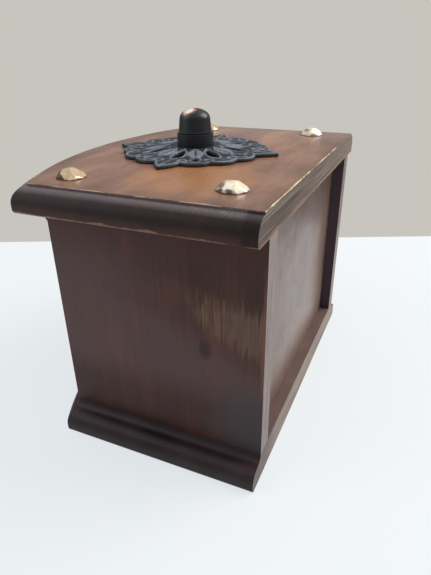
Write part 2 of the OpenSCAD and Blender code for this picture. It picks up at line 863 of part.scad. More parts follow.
module hinge_fixed_leaf() {
    x = knuckle_w / 2 + gap / 2;
    color(BRASS) difference() {
        union() {
            leaf_plate(hinge_w / 2, pivot_z - leaf_h, leaf_h - knuckle_r - gap);
            intersection() {
                leaf_plate(hinge_w / 2, pivot_z - leaf_h, leaf_h - gap);
                union() {
                    translate([-hinge_w, -far, 0]) cube([hinge_w - x, far, top_z]);
                    translate([x, -far, 0]) cube([hinge_w - x, far, top_z]);
                }
            }
            knuckle(-hinge_w / 2, -x, -1);
            knuckle(x, hinge_w / 2, -1);
        }
        hinge_bore();
    }
}

module hinge_pin() {
    color(STEEL) translate([-hinge_w / 2, pivot_y, pivot_z]) rotate([0, 90, 0])
        cylinder(d = hinge_pin_d, h = hinge_w);
}

// Plan of the chute: it narrows from the opening to its foot. side widens it, front lengthens it.
module chute_plan(side, front) {
    sill_x = filler_w / 2 + side;
    foot_x = filler_w / 2 * chute_foot_w + side;
    polygon([[-sill_x, chute_mouth_y], [-sill_x, -inner_front - front],
        [sill_x, -inner_front - front], [sill_x, chute_mouth_y],
        [foot_x, chute_end_y], [-foot_x, chute_end_y]]);
}

// Open tray of sheet metal from the sill down to the front of the hopper's throat
module filler_chute() {
    lip_out = 1;
    lip_y = -housing_r - lip_out;
    floor_line = [[-inner_front - over, sill_z], [-inner_front, sill_z], [lip_y, notch_z + sheet_t],
        [0, notch_z + sheet_t]];
    floor_side = concat(floor_line, [[0, notch_z], [lip_y, notch_z], [-inner_front, sill_z - sheet_t],
        [-inner_front - over, sill_z - sheet_t]]);
    wall_side = [[-inner_front - over, filler_top], [0, filler_top], [0, notch_z],
        [lip_y, notch_z], [-inner_front, sill_z - sheet_t], [-inner_front - over, sill_z - sheet_t]];
    color(STEEL) intersection() {
        bow_disc(inner_bow_r, 0, top_z);
        union() {
            intersection() {
                linear_extrude(height = top_z) chute_plan(sheet_t, over);
                side_sheet() polygon(floor_side);
            }
            intersection() {
                linear_extrude(height = top_z) difference() {
                    chute_plan(sheet_t, over);
                    chute_mouth();
                }
                side_sheet() polygon(wall_side);
            }
        }
    }
}

// Plan of the chute's inside, open at both ends
module chute_mouth() {
    sill_x = filler_w / 2;
    foot_x = sill_x * chute_foot_w;
    polygon([[-sill_x, chute_mouth_y], [-sill_x, -far], [sill_x, -far], [sill_x, chute_mouth_y],
        [foot_x, chute_end_y], [foot_x, 0], [-foot_x, 0], [-foot_x, chute_end_y]]);
}

// Plate across the case from a [y, z] outline
module side_sheet() {
    translate([case_x, 0, 0]) rotate([90, 0, -90]) linear_extrude(height = case_w)
        mirror([1, 0]) children();
}

// ---------- Drawer ----------

kicker_w = 6;
kicker_h = 5;

// Strip that keeps the drawer level when it is pulled out
module kicker(side) {
    front_y = -sqrt(pow(inner_bow_r, 2) - pow(inner_x, 2)) + bow_y + gap;
    color(PLAIN_WOOD) translate([side > 0 ? inner_x - kicker_w : -inner_x, front_y, tray_top + gap])
        cube([kicker_w, panel_front - front_y, kicker_h]);
}

module left_kicker() {
    kicker(-1);
}

module right_kicker() {
    kicker(1);
}

tray_x = inner_x - drawer_gap;
tray_in_x = tray_x - tray_t;
tray_rest = 1;
tray_back = panel_front - tray_rest;
tray_floor_z = drawer_z + floor_lift;
knob_z = drawer_z + drawer_h / 2;
knob_hole_d = 3;
knob_head_h = 1.8;

// The drawer's bottom with its edges in the grooves, a little larger all round by slack
module tray_floor(slack) {
    x = tray_in_x + tray_groove - fit_gap + slack;
    back_y = tray_back - tray_t + tray_groove - fit_gap + slack;
    intersection() {
        translate([-x, -far, tray_floor_z - slack]) cube([2 * x, far + back_y, floor_t + 2 * slack]);
        bow_disc(inner_bow_r, drawer_z, tray_h);
    }
}

module drawer_front() {
    color(WALNUT) difference() {
        bowed_slab(tray_x, inner_bow_r, bow_r, drawer_z, drawer_h);
        translate([0, -front_d - over, knob_z]) rotate([-90, 0, 0])
            cylinder(d = knob_hole_d + 2 * fit_gap, h = front_t + 2 * over);
    }
}

module drawer_side(side) {
    color(PLAIN_WOOD) difference() {
        intersection() {
            translate([side > 0 ? tray_in_x : -tray_x, -far, drawer_z])
                cube([tray_t, far + tray_back, tray_h]);
            bow_disc(inner_bow_r, drawer_z, tray_h);
        }
        tray_floor(fit_gap);
    }
}

module drawer_left_side() {
    drawer_side(-1);
}

module drawer_right_side() {
    drawer_side(1);
}

module drawer_back() {
    color(PLAIN_WOOD) difference() {
        translate([-tray_in_x, tray_back - tray_t, drawer_z]) cube([2 * tray_in_x, tray_t, tray_h]);
        tray_floor(fit_gap);
    }
}

module drawer_bottom() {
    color(PLYWOOD) tray_floor(0);
}

module drawer_knob() {
    color(BRASS) translate([0, -front_d, knob_z]) rotate([90, 0, 0])
        turned_knob(knob_d, knob_l, knob_hole_d + 2 * fit_gap);
}

module knob_screw() {
    head_seat = knob_hole_d * knob_hole_d / (2 * inner_bow_r) + fit_gap / 2;
    color(STEEL) translate([0, -inner_front, knob_z]) rotate([90, 0, 0]) {
        translate([0, 0, -knob_head_h - head_seat]) cylinder(d = 2 * knob_hole_d, h = knob_head_h);
        translate([0, 0, -knob_head_h])
            cylinder(d = knob_hole_d, h = knob_head_h + front_t + knob_l * 0.5);
    }
}

base_board();
left_side();
right_side();
back_panel();
top_board();
front_apron();
front_bead();
base_screws();
corner_tacks();
rosette();
collar();
jam_nut();
spindle();
cap_nut();
hopper();
hopper_screws();
ring_burr();
cone_burr();
burr_spring();
lower_bridge();
bridge_screws();
adjusting_nut();
filler_flap();
flap_knob();
hinge_flap_leaf();
hinge_fixed_leaf();
hinge_pin();
filler_chute();
left_kicker();
right_kicker();
drawer_front();
drawer_left_side();
drawer_right_side();
drawer_back();
drawer_bottom();
drawer_knob();
knob_screw();
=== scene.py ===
"""Finish of a bow-fronted box mill for coffee beans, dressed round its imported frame.

All places are metres in the part's own frame: the origin lies on the table under the spindle,
+Z is up, the bowed front with its drawer faces -Y and the flat back faces +Y. Patterns in the
materials are worked out in millimetres.
"""

from __future__ import annotations

import logging
import math
from dataclasses import dataclass, field
from enum import Enum
from typing import Any, Callable, Union

import bpy
import numpy as np
from mathutils import Matrix, Vector
from mathutils.kdtree import KDTree

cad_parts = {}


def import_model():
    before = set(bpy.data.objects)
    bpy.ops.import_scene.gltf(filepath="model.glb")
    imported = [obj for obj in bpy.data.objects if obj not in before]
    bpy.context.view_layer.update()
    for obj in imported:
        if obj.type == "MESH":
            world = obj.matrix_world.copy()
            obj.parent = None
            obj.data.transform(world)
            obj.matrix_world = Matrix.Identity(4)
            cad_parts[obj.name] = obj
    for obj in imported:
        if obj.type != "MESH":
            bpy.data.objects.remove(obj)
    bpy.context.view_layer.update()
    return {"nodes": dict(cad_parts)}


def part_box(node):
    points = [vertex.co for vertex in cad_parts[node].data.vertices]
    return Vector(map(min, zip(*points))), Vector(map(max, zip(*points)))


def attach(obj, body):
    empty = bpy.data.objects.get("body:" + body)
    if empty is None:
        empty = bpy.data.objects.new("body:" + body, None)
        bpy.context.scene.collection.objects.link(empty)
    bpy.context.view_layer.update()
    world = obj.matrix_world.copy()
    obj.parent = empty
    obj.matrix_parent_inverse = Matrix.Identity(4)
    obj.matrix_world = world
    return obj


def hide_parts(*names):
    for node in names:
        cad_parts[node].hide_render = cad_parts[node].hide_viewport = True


LOG = logging.getLogger("box_mill")
MM = 0.001
Piece = bpy.types.Object
Nodes = dict[str, Piece]
Triple = tuple[float, float, float]
SQUARE_ON = (0.7, 0.95)  # how squarely a face looks along an axis where a mark fades in
WELD = 2e-6  # metres within which doubled vertices are one
COAT_ROUGH = 0.24


# ---------- Shader maths ----------


def two_sided(operation: str, swapped: bool = False) -> Callable[["Signal", "Value"], "Signal"]:
    """The method of a signal that adds one Math node with a second operand.

    Args:
        operation: Blender's name of the operation.
        swapped: whether the other operand comes first.

    Returns:
        The method.
    """

    def method(signal: "Signal", other: "Value") -> "Signal":
        """The result of the node."""
        return signal._math(operation, *((other, signal) if swapped else (signal, other)))

    return method


class Signal:
    """One output of a node. Arithmetic on it adds Math nodes."""

    __add__ = two_sided("ADD")
    __radd__ = two_sided("ADD", swapped=True)
    __sub__ = two_sided("SUBTRACT")
    __rsub__ = two_sided("SUBTRACT", swapped=True)
    __mul__ = two_sided("MULTIPLY")
    __rmul__ = two_sided("MULTIPLY", swapped=True)
    __truediv__ = two_sided("DIVIDE")
    __pow__ = two_sided("POWER")
    least = two_sided("MINIMUM")
    most = two_sided("MAXIMUM")

    def __init__(self, recipe: "Recipe", socket: bpy.types.NodeSocket) -> None:
        """Keeps the recipe that the socket belongs to.

        Args:
            recipe: the material under construction.
            socket: the output socket that carries the value.
        """
        self.recipe = recipe
        self.socket = socket

    def _math(self, operation: str, *values: "Value") -> "Signal":
        """Adds one Math node.

        Args:
            operation: Blender's name of the operation.
            values: its operands, in order.

        Returns:
            The node's result.
        """
        settings = {"operation": operation}
        return self.recipe.node("ShaderNodeMath", settings, dict(enumerate(values)))

    def size(self) -> "Signal":
        """Value without its sign."""
        return self._math("ABSOLUTE", self)

    def rise(self, low: float, high: float, **ends: float) -> "Signal":
        """A soft step from 0 at low to 1 at high, or down where low is above high.

        Args:
            low: where the step starts.
            high: where it ends.
            ends: other results at its two ends, as To_Min and To_Max.

        Returns:
            The step.
        """
        inputs = {"Value": self, "From Min": low, "From Max": high}
        inputs.update((name.replace("_", " "), value) for name, value in ends.items())
        settings = {"interpolation_type": "SMOOTHSTEP"}
        return self.recipe.node("ShaderNodeMapRange", settings, inputs)

    def twin(self, name: str) -> "Signal":
        """Another output of the same node, by its name."""
        return Signal(self.recipe, self.socket.node.outputs[name])


Value = Union[Signal, float]
Colour = Union[Signal, str]


class Recipe:
    """The node tree of one material or world, from its coordinates to its shader."""

    def __init__(self, name: str, kind: str = "materials") -> None:
        """Starts an empty tree.

        Args:
            name: the material's name.
            kind: the collection that holds it, materials or worlds.
        """
        self.owner = getattr(bpy.data, kind).new(name)
        self.owner.use_nodes = True
        self.tree = self.owner.node_tree
        self.tree.nodes.clear()
        self._point: Signal | None = None

    def node(
        self,
        kind: str,
        settings: dict[str, Any] | None = None,
        inputs: dict[int | str, Any] | None = None,
        output: int | str = 0,
    ) -> Signal:
        """Adds any node.

        Args:
            kind: the node's type, such as ShaderNodeTexNoise.
            settings: its properties, set first; "stops" holds a colour ramp's stops.
            inputs: values, colour codes or signals for its sockets, by name or number.
            output: the socket to return.

        Returns:
            The chosen output.
        """
        made = self.tree.nodes.new(kind)
        for name, value in (settings or {}).items():
            if name == "stops":
                self._set_stops(made.color_ramp, value)
            else:
                setattr(made, name, value)
        for name, value in (inputs or {}).items():
            if isinstance(value, Signal):
                self.tree.links.new(value.socket, made.inputs[name])
            else:
                code = isinstance(value, str)
                made.inputs[name].default_value = linear(value) if code else value
        return Signal(self, made.outputs[output]) if made.outputs else made

    @staticmethod
    def _set_stops(ramp: bpy.types.ColorRamp, stops: tuple[tuple[float, str], ...]) -> None:
        """Gives a ramp its stops, each a place and a colour's code."""
        while len(ramp.elements) < len(stops):
            ramp.elements.new(1.0)
        for element, (place, colour) in zip(ramp.elements, stops):
            element.position = place
            element.color = linear(colour)

    @property
    def point(self) -> Signal:
        """The point in the part's frame, in millimetres."""
        if self._point is None:
            place = self.node("ShaderNodeTexCoord", output="Object")
            inputs = {"Vector": place, "Scale": (1 / MM,) * 3}
            self._point = self.node("ShaderNodeMapping", {}, inputs)
        return self._point

    def split(self, vector: Signal | None = None) -> tuple[Signal, Signal, Signal]:
        """The three parts of a vector, or of the point if none is given."""
        x = self.node("ShaderNodeSeparateXYZ", {}, {0: vector or self.point})
        return x, x.twin("Y"), x.twin("Z")

    def facing(self) -> tuple[Signal, Signal, Signal]:
        """How far the surface faces along x, y and z, whichever way round."""
        normal = self.node("ShaderNodeTexCoord", output="Normal")
        x, y, z = self.split(normal)
        return x.size(), y.size(), z.size()

    def noise(
        self,
        pitch: Triple,
        detail: float = 2.0,
        seed: float = 0.0,
        roughness: float = 0.55,
    ) -> Signal:
        """Smooth noise from 0 to 1.

        Args:
            pitch: the rough size of a feature along x, y and z, in millimetres.
            detail: how many finer layers are added.
            seed: shifts the pattern.
            roughness: strength of the finer layers.

        Returns:
            The noise, with its middle at 0.5.
        """
        scale = tuple(1 / length for length in pitch)
        shift = (seed * 7.13, seed * -3.71, seed * 5.37)
        moved = self.node(
            "ShaderNodeMapping", {}, {"Vector": self.point, "Location": shift, "Scale": scale}
        )
        inputs = {"Vector": moved, "Scale": 1.0, "Detail": detail, "Roughness": roughness}
        return self.node("ShaderNodeTexNoise", {}, inputs)

    def mix(self, under: Colour, over: Colour, mask: Value, blend: str = "MIX") -> Signal:
        """Lays one colour over another through a mask."""
        settings = {"data_type": "RGBA", "blend_type": blend}
        return self.node("ShaderNodeMix", settings, {0: mask, 6: under, 7: over}, output=2)

    def ramp(self, value: Signal, *stops: tuple[float, str]) -> Signal:
        """Turns a value into a colour."""
        return self.node("ShaderNodeValToRGB", {"stops": stops}, {0: value})

    def coats(self, colour: Colour, *layers: tuple[Colour, Value]) -> Signal:
        """Lays colours over another, one by one, each through its own mask."""
        for layer, mask in layers:
            colour = self.mix(colour, layer, mask)
        return colour

    def shade(self, colour: Colour, amount: Signal) -> Signal:
        """Multiplies a colour by a grey amount."""
        grey = self.node("ShaderNodeCombineXYZ", {}, {0: amount, 1: amount, 2: amount})
        return self.mix(colour, grey, 1.0, "MULTIPLY")

    def bump(self, height: Signal, depth: float, strength: float = 1.0) -> Signal:
        """A normal from a height.

        Args:
            height: the relief, about 0 to 1.
            depth: the relief's depth in millimetres.
            strength: how much of it shows.

        Returns:
            The bent normal.
        """
        inputs = {"Height": height, "Distance": depth * MM, "Strength": strength}
        return self.node("ShaderNodeBump", {}, inputs)

    def cover(self, piece: Piece, inputs: dict[str, Any]) -> None:
        """Ends the material in a Principled shader and gives it to a piece.

        Args:
            piece: the piece.
            inputs: the shader's values or signals, by socket.
        """
        shader = self.node("ShaderNodeBsdfPrincipled", {}, inputs)
        self.node("ShaderNodeOutputMaterial", {}, {"Surface": shader})
        paint(piece, self.owner)


def linear(code: str) -> tuple[float, float, float, float]:
    """The linear colour of a six-digit code such as 8a6a50."""
    parts = (int(code[i : i + 2], 16) / 255 for i in (0, 2, 4))
    return (*((c / 12.92 if c < 0.04045 else ((c + 0.055) / 1.055) ** 2.4) for c in parts), 1.0)


# ---------- Places on a board ----------


class Grain(Enum):
    """The way that a board's fibres run."""

    ALONG_X = 0
    ALONG_Y = 1
    ALONG_Z = 2

    def pitch(self, along: float, across: float) -> Triple:
        """Feature sizes for noise that is drawn out along the fibres."""
        return tuple(along if axis == self.value else across for axis in range(3))


@dataclass(frozen=True)
class Bow:
    """The curve of the front, seen from above, in millimetres."""

    centre_y: float
    radius: float


@dataclass(frozen=True)
class Board:
    """The space that a board fills, in millimetres, with a bowed front if it has one."""

    low: Vector
    high: Vector
    bow: Bow | None = None

    @classmethod
    def of(cls, node: str, bow: Bow | None = None) -> "Board":
        """The board that a CAD node fills."""
        low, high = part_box(node)
        return cls(low / MM, high / MM, bow)

    def rims(self, recipe: Recipe) -> tuple[Signal, Signal, Signal]:
        """Distances from a point to the board's nearest side, front or back, and top or foot."""
        x, y, z = recipe.split()
        side = (x - self.low.x).least(self.high.x - x)
        depth = (y - self.low.y).least(self.high.y - y)
        if self.bow:
            reach = (x * x + (y - self.bow.centre_y) ** 2.0) ** 0.5
            depth = (self.bow.radius - reach).least(self.high.y - y)
        height = (z - self.low.z).least(self.high.z - z)
        return side, depth, height

    def edge_distance(self, recipe: Recipe) -> Signal:
        """Distance along the surface from a point to the nearest edge: the middle of the three."""
        side, depth, height = self.rims(recipe)
        return side.least(depth).most(side.most(depth).least(height))


# ---------- Finishes ----------


@dataclass(frozen=True)
class Timber:
    """Signals that a wood finish hands on before its shader is made."""

    colour: Signal
    rough: Signal
    height: Signal
    coat: Value | None = None


@dataclass(frozen=True)
class WoodFinish:
    """A stained or bare wood with its colours, gloss and worn edges.

    streak, band and blotch are how strongly the fine lines, the growth bands and the clouds in
    the stain show. wear is how far in an edge is rubbed, and wear_share how much of its length.
    """

    name: str
    deep: str
    body: str
    light: str
    worn: str
    rough: float
    coat: float
    streak: float = 0.5
    band: float = 0.35
    blotch: float = 0.5
    wear: float = 0.8
    wear_share: float = 0.3
    gloss: float = 0.25
    end_shade: float = 0.7

    def timber(self, recipe: Recipe, grain: Grain, seed: float) -> Timber:
        """Draws the figure of the wood.

        Args:
            recipe: the material under construction.
            grain: the way that the fibres run.
            seed: makes one board differ from the next.

        Returns:
            Its colour, roughness and relief.
        """
        fine = recipe.noise(grain.pitch(60, 0.6), 3.0, seed, 0.62)
        bands = recipe.noise(grain.pitch(190, 8.0), 3.0, seed + 2)
        cloud = recipe.noise(grain.pitch(48, 24), 3.0, seed + 5, 0.6)
        pores = recipe.noise(grain.pitch(7, 0.36), 1.0, seed + 8).rise(0.6, 0.74)
        tone = 0.5 + (fine - 0.5) * self.streak + (bands - 0.5) * self.band
        tone = tone + (cloud - 0.5) * self.blotch
        colour = recipe.ramp(tone, (0.32, self.deep), (0.5, self.body), (0.66, self.light))
        colour = recipe.shade(colour, 1.0 - pores * 0.22)
        end = recipe.facing()[grain.value].rise(0.45, 0.95)
        colour = recipe.shade(colour, 1.0 - end * (1 - self.end_shade))
        rough = self.rough + (fine - 0.5) * 0.16 + (cloud - 0.5) * 0.2 + pores * 0.1 + end * 0.06
        height = fine * 0.5 - pores * 0.9
        return Timber(colour, rough, height)

    def wear_mask(
        self,
        recipe: Recipe,
        distance: Signal,
        width: float,
        share: Value,
    ) -> Signal:
        """Where an edge is rubbed or chipped through.

        Args:
            recipe: the material under construction.
            distance: millimetres from the edge.
            width: how far the wear reaches where it is worst.
            share: how much of the edge's length is worn, from 0 to 1.

        Returns:
            A mask from 0 to 1.
        """
        chips = recipe.noise((1.5, 1.5, 1.5), 3.0, 3.0, 0.7)
        runs = recipe.noise((13, 13, 13), 2.0, 9.0)
        reach = (chips - 0.5) * 1.6 + (runs - 0.5) * 3.0 + (share - 0.5) * 1.2
        return (reach - distance / width).rise(-0.06, 0.16)

    def dress(
        self,
        piece: Piece,
        board: Board,
        grain: Grain,
        seed: float,
        marks: Callable[[Recipe, Timber], Timber] | None = None,
    ) -> None:
        """Gives a board its material.

        Args:
            piece: the board's object.
            board: the space that it fills.
            grain: the way that its fibres run.
            seed: makes one board differ from the next.
            marks: adds what time has left on this board.
        """
        recipe = Recipe(f"{self.name}_{piece.name}")
        timber = self.timber(recipe, grain, seed)
        edge = board.edge_distance(recipe)
        worn = self.wear_mask(recipe, edge, self.wear, self.wear_share)
        colour = recipe.mix(timber.colour, self.worn, worn * 0.8)
        timber = Timber(colour, timber.rough + worn * 0.2, timber.height - worn * 0.6)
        if marks:
            timber = marks(recipe, timber)
        self.seal(recipe, piece, timber)

    def seal(self, recipe: Recipe, piece: Piece, timber: Timber, depth: float = 0.05) -> None:
        """Puts the varnish on a piece and ends its material."""
        inputs = {
            "Base Color": timber.colour,
            "Roughness": timber.rough,
            "Normal": recipe.bump(timber.height, depth, 0.6),
            "Specular IOR Level": self.gloss,
            "Coat Weight": self.coat if timber.coat is None else timber.coat,
            "Coat Roughness": COAT_ROUGH,
        }
        recipe.cover(piece, inputs)


@dataclass(frozen=True)
class MetalFinish:
    """A metal or a painted casting with its grain and tarnish, whose patches follow pitch."""

    name: str
    body: str
    dull: str
    metallic: float
    rough: float
    pit: float
    pitch: float = 1.4

    def dress(
        self,
        piece: Piece,
        seed: float = 0.0,
        marks: Callable[[Recipe, Signal], Signal] | None = None,
    ) -> None:
        """Gives a metal piece its material.

        Args:
            piece: the piece.
            seed: makes one piece differ from the next.
            marks: adds to its colour what time has left on this piece.
        """
        recipe = Recipe(f"{self.name}_{piece.name}")
        stain = recipe.noise((self.pitch * 5,) * 3, 3.0, seed)
        grit = recipe.noise((self.pitch,) * 3, 3.0, seed + 4, 0.6)
        dull = (stain * 0.7 + grit * 0.3).rise(0.44, 0.64)
        colour = recipe.mix(self.body, self.dull, dull)
        rough = self.rough + dull * 0.18 + grit * 0.08 - 0.04
        if marks:
            colour = marks(recipe, colour)
        inputs = {
            "Base Color": colour,
            "Metallic": self.metallic,
            "Roughness": rough,
            "Normal": recipe.bump(grit, self.pit, 0.7),
        }
        recipe.cover(piece, inputs)


def paint(piece: Piece, material: bpy.types.Material) -> None:
    """Puts a material in every slot of a piece."""
    if not piece.material_slots:
        piece.data.materials.append(material)
    for slot in piece.material_slots:
        slot.material = material


WALNUT = WoodFinish(
    "walnut", "28110f", "3f201a", "5a3126", "8a5c3e", 0.44, 0.06, 0.26, 0.22, 0.5, 0.7, 0.2
)
MOULDING = WoodFinish(
    "moulding", "1a0c0a", "2a1611", "41271d", "8a5c3e", 0.44, 0.02, 0.25, 0.2, 0.6, 0.6, 0.2, 0.08
)
PLINTH = WoodFinish(
    "plinth", "1b0f12", "2b1b1e", "3c2a2d", "8a5c3e", 0.46, 0.06, 0.25, 0.2, 0.6, 0.6, 0.2
)
WALNUT_TOP = WoodFinish(
    "walnut_top", "6d4a37", "8b6450", "a37b63", "efcb9f", 0.3, 0.3, 0.2, 0.25, 0.8, 0.8, 0.35
)
# Walnut greyed and lightened: dusty varnish and a painted sheen.
PANEL_DUST_AND_SHEEN = WoodFinish(
    "panel_wood", "4c3a33", "685047", "80685c", "a8805c", 0.38, 0.4, 0.4, 0.3, 0.5, 0.6, 0.2
)
PLAIN = WoodFinish(
    "plain_wood", "9a7550", "b8926a", "cfae86", "d9bd98", 0.62, 0.0, 0.6, 0.5, 0.4, 0.4, 0.3
)
BRASS = MetalFinish("brass", "d9b77c", "a5824f", 1.0, 0.3, 0.03)
# Near-white, lightly metallic brass: its pale colour is a painted glint on the heads.
TACK_BRASS_PAINTED_GLINT = MetalFinish("tack_brass_painted_glint", "fff6e6", "dcc394", 0.6, 0.36, 0.09, 0.7)
STEEL = MetalFinish("steel", "a8a9ac", "77716a", 1.0, 0.32, 0.015, 0.8)
CAST_IRON = MetalFinish("cast_iron", "3c3d3f", "2c2926", 0.35, 0.6, 0.12, 0.9)
TINPLATE = MetalFinish("tinplate", "b4b3ae", "8f8a80", 1.0, 0.36, 0.01, 3.0)


# ---------- Modelling ----------


class Bench:
    """The operators that shape one piece at a time, as by hand."""

    @staticmethod
    def clear() -> None:
        """Leaves edit mode and deselects everything."""
        if bpy.context.object and bpy.context.object.mode != "OBJECT":
            bpy.ops.object.mode_set(mode="OBJECT")
        bpy.ops.object.select_all(action="DESELECT")

    @classmethod
    def take(cls, *pieces: Piece) -> None:
        """Selects these pieces alone; the first is the active one."""
        cls.clear()
        for piece in pieces:
            piece.select_set(True)
        bpy.context.view_layer.objects.active = pieces[0]

    @staticmethod
    def named(name: str) -> Piece:
        """The object that an operator has just made, under a name."""
        piece = bpy.context.object
        piece.name = name
        piece.data.name = name
        return piece

    @classmethod
    def pick(cls, piece: Piece, test: Callable[[bpy.types.MeshPolygon], bool]) -> None:
        """Opens a piece in edit mode with the faces that pass a test selected.

        Args:
            piece: the piece to edit.
            test: says of a face whether it is wanted.
        """
        cls.take(piece)
        mesh = piece.data
        mesh.vertices.foreach_set("select", [False] * len(mesh.vertices))
        mesh.edges.foreach_set("select", [False] * len(mesh.edges))
        mesh.polygons.foreach_set("select", [bool(test(face)) for face in mesh.polygons])
        bpy.ops.object.mode_set(mode="EDIT")
        bpy.ops.mesh.select_mode(type="FACE")

    @classmethod
    def apply(cls, piece: Piece, kind: str, **settings: Any) -> None:
        """Adds a modifier and applies it.

        Args:
            piece: the piece.
            kind: the modifier's type.
            settings: its properties.
        """
        cls.take(piece)
        modifier = piece.modifiers.new(kind.lower(), kind)
        for name, value in settings.items():
            setattr(modifier, name, value)
        bpy.ops.object.modifier_apply(modifier=modifier.name)

    @staticmethod
    def points(piece: Piece) -> np.ndarray:
        """The places of a piece's vertices in millimetres, one to a row."""
        found = np.empty(len(piece.data.vertices) * 3)
        piece.data.vertices.foreach_get("co", found)
        return found.reshape(-1, 3) / MM

    @classmethod
    def settle(cls, piece: Piece) -> None:
        """Moves a piece's place and turn into its mesh."""
        cls.take(piece)
        bpy.ops.object.transform_apply(location=True, rotation=True, scale=True)

    @classmethod
    def smooth(cls, piece: Piece, angle: float) -> None:
        """Shades a piece smooth, save at edges sharper than an angle in degrees."""
        cls.take(piece)
        bpy.ops.object.shade_smooth_by_angle(angle=math.radians(angle))

    @classmethod
    def join(cls, name: str, pieces: list[Piece]) -> Piece:
        """Makes several pieces one."""
        cls.take(*pieces)
        bpy.ops.object.join()
        return cls.named(name)

    @classmethod
    def copy_of(cls, node: Piece, name: str) -> Piece:
        """A merged copy of a CAD node as a new piece.

        Args:
            node: the CAD node.
            name: the new piece's name.

        Returns:
            The new piece, at the origin.
        """
        piece = bpy.data.objects.new(name, node.data.copy())
        bpy.context.scene.collection.objects.link(piece)
        piece.data.name = name
        cls.pick(piece, lambda face: True)
        bpy.ops.mesh.remove_doubles(threshold=WELD)
        bpy.ops.mesh.customdata_custom_splitnormals_clear()
        bpy.ops.object.mode_set(mode="OBJECT")
        return piece


# ---------- Sub-assemblies ----------


